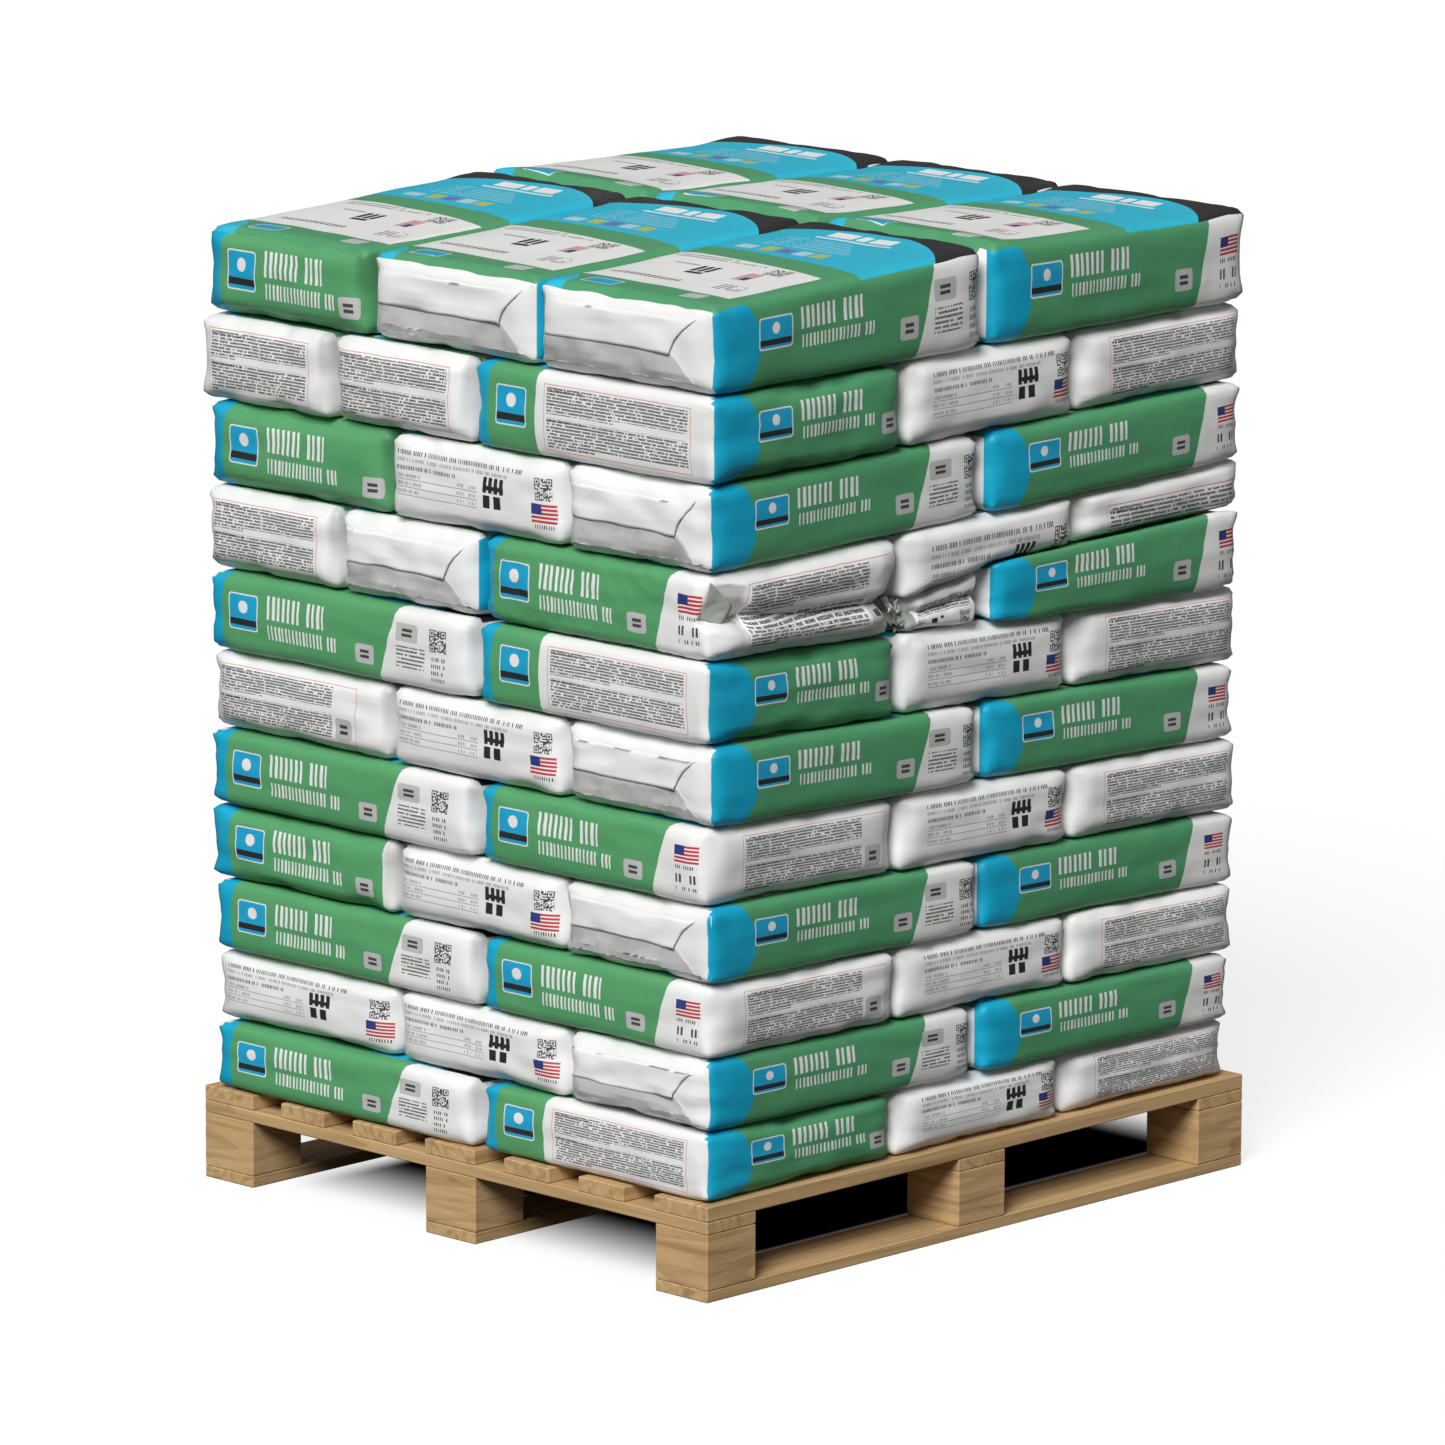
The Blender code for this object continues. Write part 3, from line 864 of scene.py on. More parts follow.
# %% [markdown]
# ## Filling the sack
#
# The irregular part is the wrinkles, where spare paper goes at the ends and corners. Those could be
# drawn by hand, but cloth simulation finds them by itself: the paper grows a little, pressure pushes
# it out, and it buckles. Six sacks are filled that way, three with crisp ends and three with soft
# ones. At the corners the simulated shape counts most, and along the sides, which the powder keeps
# smooth, it counts least.

# %% Fill six sacks
# For each sack its pressure, the growth of its paper, the most that a point may move, the
# stiffness against stretching and the stiffness against bending.
FILLINGS = (
    (4.0, 0.040, 0.014, 15, 0.8), (3.0, 0.045, 0.018, 40, 5.0), (4.0, 0.035, 0.014, 20, 1.5),
    (3.0, 0.050, 0.018, 40, 4.0), (5.0, 0.040, 0.016, 25, 2.5), (3.5, 0.040, 0.018, 30, 6.0),
)
START_SIZE, START_SCALE, START_DEPTH = 0.975, 26.0, 0.0020
SIMULATED_FRAMES = 20
SOFT_LIMIT = 0.010
CRISP = 3
ALONG_SIDES, AT_CORNERS = 0.14, 0.80


def uneven(points, seed, scale, depth):
    """Smooth random moves of the points, the same on every run."""
    offset = Vector((seed * 7.3, seed * 3.1, seed * 5.7))
    moves = np.array([noise.noise_vector(Vector(point) * scale + offset) for point in points])
    return points + moves * depth


def fill_sack(seed, pressure, grow, cap, stiffness, bending):
    """Blows the sack up as cloth, and blends the result with the regular bag."""
    regular = CRISP_BAG if seed <= CRISP else SOFT_BAG
    start = uneven(regular * START_SIZE, seed, START_SCALE, START_DEPTH)
    sack = link(bpy.data.objects.new("filling", with_points(BLANK.copy(), start)))
    cloth = sack.modifiers.new("filling", "CLOTH")
    for setting, value in (("use_pressure", True), ("uniform_pressure_force", pressure),
                           ("shrink_min", -grow), ("tension_stiffness", stiffness),
                           ("compression_stiffness", stiffness), ("shear_stiffness", 5),
                           ("bending_stiffness", bending), ("quality", 5), ("mass", 0.3)):
        setattr(cloth.settings, setting, value)
    cloth.settings.effector_weights.gravity = 0
    cloth.collision_settings.use_collision = False
    for number in range(1, SIMULATED_FRAMES + 1):
        bpy.context.scene.frame_set(number)
    evaluated = sack.evaluated_get(bpy.context.evaluated_depsgraph_get())
    moved = points_of(evaluated.data) - start
    bpy.data.objects.remove(sack)
    length = np.maximum(np.linalg.norm(moved, axis=1, keepdims=True), 1e-9)
    moved = moved * cap * np.tanh(length / cap) / length
    to_edge = np.sort(np.abs(GRID), axis=1)[:, 1]
    corner = smooth_rise(to_edge, 0.74, 1.0) * smooth_rise(np.abs(GRID[:, 0]), 0.70, 1.0)
    share = ALONG_SIDES + (AT_CORNERS - ALONG_SIDES) * corner
    return regular + (start + moved - regular) * share[:, None]


def held_in_box(points):
    """The points as shares of the sack's half size, pressed flat where they come near its limits."""
    half = SACK / 2
    start = half - SOFT_LIMIT
    size = np.abs(points)
    pressed = start + SOFT_LIMIT * np.tanh((size - start) / SOFT_LIMIT)
    held = np.sign(points) * np.where(size > start, pressed, size)
    return held / np.abs(held).max(axis=0)


FILLED = [held_in_box(fill_sack(seed, *how)) for seed, how in enumerate(FILLINGS, 1)]
bpy.context.scene.frame_set(1)
on_top = GRID[:, 2] > 0.999
for number, shape in enumerate(FILLED, 1):
    print("sack", number, "mean height of its top", round(float(shape[on_top, 2].mean()), 3))

# %% [markdown]
# ## Turning and mirroring
#
# The mesh is symmetric, so a mirrored sack has the same points in another order. Finding that order
# once makes it possible to mirror any filling without touching the faces. A quarter turn serves the
# bags that lie the other way.

# %% Orders of the mirrored grid
def mirror_order(signs):
    """For each point of the grid, the number of the point at its mirrored place."""
    keys = {tuple(np.round(point, 4) + 0.0): number for number, point in enumerate(GRID)}
    return np.array([keys[tuple(np.round(point * signs, 4) + 0.0)] for point in GRID])


FLIPS = [np.array(signs) for signs in ((1, 1, 1), (-1, 1, 1), (1, -1, 1), (-1, -1, 1))]
ORDERS = [mirror_order(signs) for signs in FLIPS]


def quarter_turn(points):
    """A quarter turn to the left about the upright axis: the long side comes to lie along Y."""
    return np.stack((-points[:, 1], points[:, 0], points[:, 2]), axis=1)


def sack_shape(number, flip, lengthwise):
    shape = FILLED[number][ORDERS[flip]] * FLIPS[flip]
    return quarter_turn(shape) if lengthwise == "y" else shape


def grid_for(lengthwise):
    return quarter_turn(GRID) if lengthwise == "y" else GRID


print("flips:", len(FLIPS), "of", len(FILLED), "fillings")

# %% [markdown]
# ## Where the bags lie
#
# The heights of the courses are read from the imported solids. Each course is level along the front.
# The lower ones sink towards the back, and the joints over the eighth rise a little. In plan, shares
# of the load's width or length say where the joints between bags are, and every course has one of
# three layouts.

# %% Beds and cells
COURSES = 11
LEVELLING = 8
RISING = (8, 9, 10)
SEAT = 0.0003
OVERLAP = 0.0045
FRONT_OF_LOAD, BACK_OF_LOAD = -0.576, 0.552
THREE_ENDS = (0.372, 0.716)
THREE_ENDS_TOP = (0.326, 0.664)
TWO_LONG = (0.503,)
LONG_THEN_SHORT = 0.548
THREE_SIDES = (0.345, 0.677)
THREE_SIDES_REAR = (0.330, 0.665)
PAIR_JOINTS = {8: (0.268, 0.548), 10: (0.254, 0.538)}
ENDS_TO_FRONT = (2, 4, 6, 9, 11)


def course_node(course):
    return f"bag_course_{course:02d}"


COURSE_BOX = {course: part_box(course_node(course)) for course in range(1, COURSES + 1)}


def bed_ends(joint):
    """The height of a bed joint at the front and at the back of the load."""
    if joint == COURSES:
        top = COURSE_BOX[COURSES][1].z
        return top, top
    above = COURSE_BOX[joint + 1][0].z
    if joint == 0:
        return above, above
    top = COURSE_BOX[joint][1].z + SEAT
    return (above, top) if joint in RISING else (top, above)


def bed(joint):
    """The height of a bed joint as a function of arrays x and y."""
    front, back = bed_ends(joint)
    slope = (back - front) / (BACK_OF_LOAD - FRONT_OF_LOAD)
    return lambda x, y: front + slope * (y - FRONT_OF_LOAD)


def lowered(height, amount):
    return lambda x, y: height(x, y) - amount


def stretches(low, high, shares):
    cuts = [low, *(low + (high - low) * share for share in shares), high]
    return list(zip(cuts, cuts[1:]))


def layout(course):
    """The plan cells of a course as (left, right, front, back, way its bags lie)."""
    low, high = COURSE_BOX[course]
    left, right = low.x + OVERLAP, high.x - OVERLAP
    front, back = low.y + OVERLAP, high.y - OVERLAP
    if course in ENDS_TO_FRONT:
        splits = THREE_ENDS_TOP if course == COURSES else THREE_ENDS
        return [(*column, *row, "y") for row in stretches(front, back, TWO_LONG)
                for column in stretches(left, right, splits)]
    if course in PAIR_JOINTS:
        columns = stretches(left, right, PAIR_JOINTS[course])
        pairs = [(*column, *row, "y") for row in stretches(front, back, TWO_LONG)
                 for column in columns[:2]]
        return pairs + [(*columns[2], *row, "x") for row in stretches(front, back, THREE_SIDES)]
    first, second = stretches(left, right, (LONG_THEN_SHORT,))
    return ([(*first, *row, "x") for row in stretches(front, back, THREE_SIDES_REAR)]
            + [(*second, *row, "x") for row in stretches(front, back, THREE_SIDES)])


for course in range(1, COURSES + 1):
    front_height, back_height = bed_ends(course)
    print(course_node(course), len(layout(course)), "bags, top", round(front_height, 3), "to",
          round(back_height, 3))

# %% [markdown]
# ## Laying a bag
#
# A filled sack is in shares of its own size. To lay it, its points are stretched to the plan cell,
# and from the bed below to the bed above. The print is placed in metres along each face, in a UV map
# measured from the left edge of the face and a second one measured from its right edge. Both are
# worked out before a bag is bent or torn, so that its print bends and tears with it. A real sack is
# printed before it is folded, so the ink runs on round the edges of a face, and here too.

# %% Sides of a bag, and print positions
FRONT, RIGHT, BACK, LEFT, UP, DOWN = range(6)
ROUND_FOOT, ROUND_CORNER, ROUND_BLUE = 0.032, 0.030, 0.070
TOP_RUNS_DOWN = 0.72


def corner_points():
    """For each corner of each square, the number of its grid point."""
    numbers = np.empty(len(BLANK.loops), dtype=np.int32)
    BLANK.loops.foreach_get("vertex_index", numbers)
    return numbers


CORNERS = corner_points()


def middles_of(grid):
    return grid[CORNERS].reshape(-1, 4, 3).mean(axis=1)


def square_sides(grid):
    """Which side of the bag each square belongs to."""
    middles = middles_of(grid)
    axis = np.abs(middles).argmax(axis=1)
    positive = middles[np.arange(len(middles)), axis] > 0
    table = np.array(((LEFT, RIGHT), (FRONT, BACK), (DOWN, UP)))
    return table[axis, positive.astype(int)]


def inward_from(side, points, cell):
    """How far points lie from the plane of an upright side."""
    left, right, front, back = cell[:4]
    x, y = points[:, 0], points[:, 1]
    return (y - front, right - x, back - y, x - left)[side]


def printed_sides(grid, sides, sheets, cell, onto_top):
    """The side whose print covers each square. Print runs on round the edges of its own side."""
    left, right, front, back = cell[:4]
    middles = middles_of(grid)
    places = np.stack((left + (middles[:, 0] + 1) / 2 * (right - left),
                       front + (middles[:, 1] + 1) / 2 * (back - front)), axis=1)
    bare = np.array([sheets[number] == "plain" for number in range(6)])[sides]
    runs_down = bare & (sides < UP) & (middles[:, 2] > TOP_RUNS_DOWN)
    printed = np.where(runs_down & (onto_top == TOP_COURSE), UP, sides)
    closest = np.full(len(sides), 1.0)
    for side in (FRONT, RIGHT, BACK, LEFT):
        if sheets[side] == "plain":
            continue
        away = inward_from(side, places, cell)
        round_corner = ROUND_BLUE if sheets[side] == "fold" else ROUND_CORNER
        reach = np.select([bare & (sides == DOWN), sides == UP,
                           bare & ((sides - side) % 2 == 1) & (sides < UP)],
                          [ROUND_FOOT, onto_top[side], round_corner], 0.0)
        taken = (away < reach) & (away < closest)
        printed[taken] = side
        closest = np.where(taken, away, closest)
    return printed


def print_places(points, sides, printed, cell, height, near_end):
    """Two UV lists in metres: from the left edge of each face, and from its right edge.

    Height is the share of the bag's height at each point. The near end is the side that the
    picture on the top starts from.
    """
    left, right, front, back = cell[:4]
    width, depth = right - left, back - front
    corners = points[CORNERS]
    x, y = corners[:, 0] - left, corners[:, 1] - front
    side, shown = np.repeat(sides, 4), np.repeat(printed, 4)
    on_face = [shown == number for number in (FRONT, RIGHT, BACK, LEFT)]
    inward = np.select(on_face, [inward_from(number, corners, cell) for number in range(4)])
    top_along = {"left": x, "right": width - x, "front": y}[near_end]
    top_across = {"left": depth - y, "right": y, "front": x}[near_end]
    along = np.select(on_face, [x, y, width - x, depth - y], top_along)
    upright = (shown < UP) & (side < UP)
    turned = np.where(upright & (side == (shown + 1) % 4), 1, 0)
    turned = turned - np.where(upright & (side == (shown - 1) % 4), 1, 0)
    along = along + turned * inward
    beyond = np.select([side == UP, side == DOWN], [inward, -inward], 0.0)
    up = np.where(shown < UP, height[CORNERS] * NOMINAL_HEIGHT + beyond, top_across)
    length = np.where((shown == FRONT) | (shown == BACK), width, depth)
    return np.stack((along, up), axis=1), np.stack((along - length, up), axis=1)


def write_uv(mesh, name, places):
    layer = mesh.uv_layers.new(name=name)
    layer.data.foreach_set("uv", np.ascontiguousarray(places, dtype=np.float32).ravel())


print("corners:", len(CORNERS))

# %% [markdown]
# ## One bag after another
#
# No two bags of a load look the same. Each takes one of the six fillings, mirrored or not, with a few
# shallow hollows, and its outer sides stand a few millimetres in or out. The draws are random, but
# they start from a fixed number, so every run lays the bags alike.

# %% Lay one bag
BAG_GAP = 0.0012
PROUD = 0.005
EAR, EAR_SIZE = 0.012, 0.040
HOLLOW, HOLLOW_SCALE = 0.016, 2.6
TOP_COURSE = (0.0, 0.0, 0.0, 0.0)
LOW_COURSES = (0.024, 0.024, 0.024, 0.024)
rng = random.Random(1470)


def hollowed(shape, seed):
    """Shallow hollows about as wide as a hand, which only ever go inwards."""
    offset = Vector((seed * 1.7, seed * 2.3, seed * 0.9))
    depth = np.array([noise.noise(Vector(point) * HOLLOW_SCALE + offset) for point in shape])
    return shape * (1 - HOLLOW * np.clip(depth + 0.25, 0.0, 1.0))[:, None]


def laid_points(shape, cell, floor, roof):
    left, right, front, back = cell[:4]
    x = left + (shape[:, 0] + 1) / 2 * (right - left)
    y = front + (shape[:, 1] + 1) / 2 * (back - front)
    low = floor(x, y)
    return np.stack((x, y, low + (shape[:, 2] + 1) / 2 * (roof(x, y) - low)), axis=1)


def fold_ear(points, cell, height):
    """Folds in the upper part of the upright edge at the front right, whose foot sticks out."""
    x, y, _ = points.T
    near_right = np.clip(1 - (cell[1] - x) / EAR_SIZE, 0.0, 1.0)
    near_front = np.clip(1 - (y - cell[2]) / EAR_SIZE, 0.0, 1.0)
    fold = EAR * (near_right * near_front) * smooth_rise(height, 0.15, 0.70)
    return points + np.stack((-0.6 * fold, fold, 0 * fold), axis=1)


def declare(piece, node):
    """Tells the frame what a piece of a bag belongs to."""
    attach(piece, "root")
    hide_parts(node)
    return piece


def has_crisp_corners(sheets):
    """Bags that show a folded end or the blue of their long side have crisp corners."""
    return any(sheet == "fold" or sheet.endswith("_end") and not sheet.startswith(("small", "info"))
               for sheet in sheets)


def lay_bag(name, cell, floor, roof, sheets, node, seed, near_end, print_floor=None,
            onto_top=LOW_COURSES, print_cell=None):
    """A bag in a cell, between two beds. The sheets are those of its six sides in order.

    The print is placed from the print cell and the print floor, where they differ.
    """
    lengthwise = cell[4]
    crisp = has_crisp_corners(sheets)
    filling = seed % CRISP + (0 if crisp else CRISP)
    shape = hollowed(sack_shape(filling, (seed // 3) % len(FLIPS), lengthwise), seed)
    points = laid_points(shape, cell, floor, roof)
    mesh = with_points(BLANK.copy(), points)
    mesh.name = name
    sides = square_sides(grid_for(lengthwise))
    x, y, z = points.T
    low = (print_floor or floor)(x, y)
    height = (z - low) / (roof(x, y) - low)
    places = print_cell or cell
    printed = printed_sides(grid_for(lengthwise), sides, sheets, places, onto_top)
    from_left, from_right = print_places(points, sides, printed, places, height, near_end)
    write_uv(mesh, "from_left", from_left)
    write_uv(mesh, "from_right", from_right)
    if not crisp:
        with_points(mesh, fold_ear(points, cell, height))
    piece = declare(piece_of(mesh, *(SHEETS[sheet] for sheet in sheets)), node)
    mesh.polygons.foreach_set("material_index", printed.astype(np.int32))
    return piece


def uneven_cell(cell, low, high):
    """The cell with its outer sides a few millimetres in or out, and a gap at its joints."""
    left, right, front, back, lengthwise = cell
    bounds = []
    for place, edge, way in ((left, low.x, -1), (right, high.x, 1), (front, low.y, -1),
                             (back, high.y, 1)):
        if abs(place - edge) < 2 * OVERLAP:
            bounds.append(edge + way * (PROUD + rng.uniform(-0.004, 0.004)))
        else:
            bounds.append(place - way * BAG_GAP)
    return (*bounds, lengthwise)


print("gap at the joints:", BAG_GAP * 1000, "mm")

# %% [markdown]
# ## Which face shows where
#
# The front and the right of the load can be seen in the picture, so the list below follows it bag by
# bag, from left to right. The other two sides can't be seen. They repeat the first two, as if the
# load were turned half round, which is how a crew that lays bags crosswise would leave it.

# %% The list of faces
FRONT_FACES = {
    11: ("title", "fold", "fold"),
    10: ("small", "small", "long_small"),
    9: ("title", "info", "fold"),
    8: ("small", "fold", "long_flag"),
    7: ("long_code", "long_small"),
    6: ("small_marked", "info", "fold"),
    5: ("long_code", "long_flag"),
    4: ("title_folded", "info", "fold"),
    3: ("long_code", "long_flag"),
    2: ("info", "info", "fold"),
    1: ("long_code", "long_small"),
}
RIGHT_FACES = {
    11: ("long_code", "long_flag"),
    10: ("title", "info", "small"),
    9: ("long_code", "long_flag"),
    8: ("small_marked", "info", "small"),
    7: ("title", "info", "small"),
    6: ("long_code", "long_flag"),
    5: ("small_marked", "info", "small"),
    4: ("long_code", "long_flag"),
    3: ("small_marked", "info", "small"),
    2: ("long_code", "long_flag"),
    1: ("title", "info", "small"),
}


def sheet_name(face, broad):
    """Some faces have one sheet for the front of the load and another for its right."""
    if face in SHEETS:
        return face
    name = face + ("_end" if broad else "_strip")
    return name if name in SHEETS else face + "_strip"


def faces_in_view(course, side):
    """The faces on a side of the load, as a viewer on that side sees them from left to right."""
    if side == "front":
        return FRONT_FACES[course]
    if side == "right":
        return RIGHT_FACES[course]
    if course in PAIR_JOINTS:
        return ("long_small", "small", "fold") if side == "back" else ("long_code", "long_flag")
    return FRONT_FACES[course] if side == "back" else RIGHT_FACES[course]


def outer_sheets(course, cells):
    """For each cell of a course, the sheets of its six sides."""
    low, high = COURSE_BOX[course]
    sheets = [["plain"] * 4 + ["top", "plain"] for _ in cells]
    views = (("front", FRONT, 2, low.y, 0, 1), ("right", RIGHT, 1, high.x, 2, 1),
             ("back", BACK, 3, high.y, 0, -1), ("left", LEFT, 0, low.x, 2, -1))
    for side, number, bound, edge, order, way in views:
        on_side = [i for i, cell in enumerate(cells) if abs(cell[bound] - edge) < 2 * OVERLAP]
        on_side.sort(key=lambda i: way * cells[i][order])
        for i, face in zip(on_side, faces_in_view(course, side)):
            sheets[i][number] = sheet_name(face, side in ("right", "left"))
    return sheets


def near_end_of(cell, sheets):
    """Lengthwise bags start at the left if they show a code or a flag, or nothing at the right."""
    if cell[4] == "y":
        return "front"
    if sheets[FRONT].startswith(("long_code", "long_flag")) or sheets[RIGHT] == "plain":
        return "left"
    return "right"


print(sum(len(faces) for faces in FRONT_FACES.values()), "faces on the front")

# %% [markdown]
# ## Course on course
#
# A crew lays the load from the deck up, and so does the loop below. The three bags at the right of
# the eighth course are left out here, because they come later, with the damage. Nothing presses on
# the top course, so its bags keep a crown, which stands a little above the solids.

# %% Lay the courses
CROWN, BACK_FALL, END_RISE = 0.022, 0.006, 0.007
FIRST_DAMAGED = 5
laid = []


def crowned(height, cell):
    """The roof over a bag of the top course. It rises from the front and towards its middle."""
    left, right, front, back = cell[:4]
    at_front = front < FRONT_OF_LOAD / 2

    def roof(x, y):
        across = 2 * (x - left) / (right - left) - 1
        along = 2 * (y - front) / (back - front) - 1
        rise = CROWN * smooth_rise(y, FRONT_OF_LOAD, 0.0)
        rise = rise - BACK_FALL * smooth_rise(y, 0.0, BACK_OF_LOAD)
        ends = END_RISE * smooth_rise(along if at_front else np.abs(along), 0.6, 1.0)
        return height(x, y) + rise * (1 - 0.15 * across ** 4) + ends

    return roof


def lay_course(course):
    low, high = COURSE_BOX[course]
    cells = layout(course)
    node, at_top = course_node(course), course == COURSES
    floor, roof = bed(course - 1), lowered(bed(course), 2 * SEAT)
    for number, (cell, sheets) in enumerate(zip(cells, outer_sheets(course, cells)), 1):
        if course == LEVELLING and number >= FIRST_DAMAGED:
            break
        bag = lay_bag(f"bag_{course:02d}_{number}", uneven_cell(cell, low, high), floor,
                      crowned(roof, cell) if at_top else roof, sheets, node,
                      7 * course + 3 * number, near_end_of(cell, sheets),
                      onto_top=TOP_COURSE if at_top else LOW_COURSES, print_cell=cell)
        laid.append((bag, cell, sheets, (floor, roof), node))


for course in range(1, COURSES + 1):
    lay_course(course)
print(len(laid), "bags,", sum(len(bag.data.polygons) for bag, *_ in laid) * 2, "triangles")

# %% [markdown]
# ## Folded ends
#
# Seven bags turn a folded end to the front, and nine more turn one to the back. Such an end is
# closed by two wide flaps: the lower one comes up first, and the upper one is glued over it. The
# upper flap stops short of the right edge in a curve, and its free edge stands a little off. A
# printed line would look flat here, so both flaps are real sheets, laid on the bag point by point.

# %% Flaps
CREASE = 0.42
CREASE_END = 0.800
FLAP_START, FLAP_END = 0.030, 0.972
FLAP_FOOT, FLAP_TOP = 0.030, 0.905
PAPER = 0.0008
LIFT_LIMIT = 0.0065
FLAP_SQUARES = (48, 14)


def upper_outline(across, up):
    """Share of the width and of the height for a point of the upper flap."""
    reach = CREASE_END + (FLAP_END - CREASE_END) * up ** 1.7
    return FLAP_START + (reach - FLAP_START) * across, CREASE + (FLAP_TOP - CREASE) * up


def lower_outline(across, up):
    reach = FLAP_END + (CREASE_END - FLAP_END) * up
    return FLAP_START + (reach - FLAP_START) * across, FLAP_FOOT + CREASE * up


def upper_lift(across, up):
    free_end = 0.0034 * smooth_rise(across, 0.80, 1.0) * (1.0 - up)
    return 0.0018 + free_end - 0.0046 * smooth_rise(up, 0.76, 1.0)


def lower_lift(across, up):
    return 0.0006 + 0.0012 * smooth_rise(across, 0.92, 1.0) * (1.0 - up)


def add_flap(bm, tree, piece_cell, beds, outline, lift, facing, finish):
    """One flap: a grid that is laid on the bag, with the lift of each point off its surface."""
    left, right, front, back = piece_cell[:4]
    faces_before = len(bm.faces)
    made = bmesh.ops.create_grid(bm, x_segments=FLAP_SQUARES[0], y_segments=FLAP_SQUARES[1],
                                 size=0.5)
    offset = Vector((left * 9, facing * 4, beds[0](left, front) * 7))
    for vert in made["verts"]:
        across, up = vert.co.x + 0.5, vert.co.y + 0.5
        along, height = outline(across, up)
        x = left + along * (right - left) if facing < 0 else right - along * (right - left)
        y = front if facing < 0 else back
        z = beds[0](x, y) + height * (beds[1](x, y) - beds[0](x, y))
        spot, normal, _, _ = tree.find_nearest(Vector((x, y + facing * 0.02, z)))
        rough = noise.noise(Vector((x, y, z)) * 28 + offset) * 0.0007 * (1 - up)
        vert.co = spot + normal * (lift(across, up) + max(0.0, rough))
    bm.faces.ensure_lookup_table()
    faces = bm.faces[faces_before:]
    for face in faces:
        face.material_index = finish
    return faces


def fold_end(bag, cell, beds, facing, node):
    """The two flaps on one end of a bag. Facing is -1 for the front and 1 for the back."""
    tree = BVHTree.FromPolygons([v.co for v in bag.data.vertices],
                                [tuple(p.vertices) for p in bag.data.polygons])
    bm = bmesh.new()
    faces = add_flap(bm, tree, cell, beds, lower_outline, lower_lift, facing, 1)
    faces += add_flap(bm, tree, cell, beds, upper_outline, upper_lift, facing, 0)
    bm.normal_update()
    for face in faces:
        if face.normal.y * facing < 0:
            face.normal_flip()
    bmesh.ops.solidify(bm, geom=faces, thickness=PAPER)
    for vert in bm.verts:
        spot, normal, _, away = tree.find_nearest(vert.co)
        if away > LIFT_LIMIT:
            vert.co = spot + normal * PAPER
    return declare(piece_of(mesh_from(bm, bag.name + "_flaps"), FLAP_PAPER, PAINTED_SHADE_UNDER_PAPER), node)


def painted_shade_under_paper():
    """The lower flap: greyer than the upper one, as painted shade, with darker cloudy patches."""
    # Grey in place of white paper: painted shade on the lower flap.
    sheet = Sheet("lower_flap", (0.56, 0.56, 0.555, 1.0))
    n = sheet.nodes
    place = n.add("ShaderNodeTexCoord", output="Object")
    cloud = n.noise(n.vector("MULTIPLY", place, (1.0, 1.0, 1.6)), 11.0, 4.0, 0.6)
    sheet.ink((0.32, 0.32, 0.315, 1.0), n.math("MULTIPLY", n.step(cloud, 0.46, 0.72), 0.70))
    return sheet.finish(0.1)


FLAP_PAPER = Sheet("upper_flap").finish(0.05)
PAINTED_SHADE_UNDER_PAPER = painted_shade_under_paper()
flaps = [fold_end(bag, cell, beds, facing, node) for bag, cell, sheets, beds, node in laid
         for side, facing in ((FRONT, -1), (BACK, 1)) if sheets[side] == "fold"]
print(len(flaps), "folded ends,", len(flaps[0].data.polygons), "faces each")

# %% [markdown]
# ## The damaged place
#
# In the eighth course the right side is out of order. A bag burst and ran out, so the bag over it
# hangs down on one side. Another whole bag was pushed in further back, and the two above it are
# squeezed over it like a saddle. Their lower side follows one surface, the shelf, that rises from
# the burst bag to the top of the extra one.

# %% The shelf
SQUASHED = 0.078
SADDLE = 0.040
LIP = 0.048
LEVEL_FLOOR, LEVEL_TOP = bed(LEVELLING - 1), bed(LEVELLING)
LEVEL_ROOF = lowered(LEVEL_TOP, 2 * SEAT)
level_cells = layout(LEVELLING)[-3:]
extra_low, extra_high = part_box("extra_bag")
burst_low, burst_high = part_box("burst_bag")
EXTRA_CELL = (extra_low.x + OVERLAP, extra_high.x, extra_low.y + OVERLAP, extra_high.y, "y")
BURST_CELL = (burst_low.x + OVERLAP, burst_high.x, burst_low.y, burst_high.y, "y")
SHELF_START = level_cells[1][2]
SHELF_LEVEL = EXTRA_CELL[2]


def shelf(x, y):
    """The underside of the two bags that lie over the burst bag and the extra bag."""
    low, squashed = LEVEL_FLOOR(x, y), LEVEL_TOP(x, y) - SQUASHED
    climb = np.clip((y - SHELF_START) / (SHELF_LEVEL - SHELF_START), 0.0, 1.0)
    lip = low + LIP
    raised = np.where(y < SHELF_LEVEL, lip + (squashed - lip) * climb, squashed)
    share = np.clip((x - EXTRA_CELL[0] + SADDLE) / SADDLE, 0.0, 1.0)
    return low + (raised - low) * share


def lay_levelling(number, floor, seed, near_end, onto_top=LOW_COURSES):
    """One of the three bags at the right of the eighth course, counted from the front."""
    cell = level_cells[number]
    return lay_bag(f"bag_{LEVELLING:02d}_{FIRST_DAMAGED + number}",
                   uneven_cell(cell, *COURSE_BOX[LEVELLING]), floor, LEVEL_ROOF,
                   level_sheets[number], course_node(LEVELLING), seed, near_end, LEVEL_FLOOR,
                   onto_top, cell)


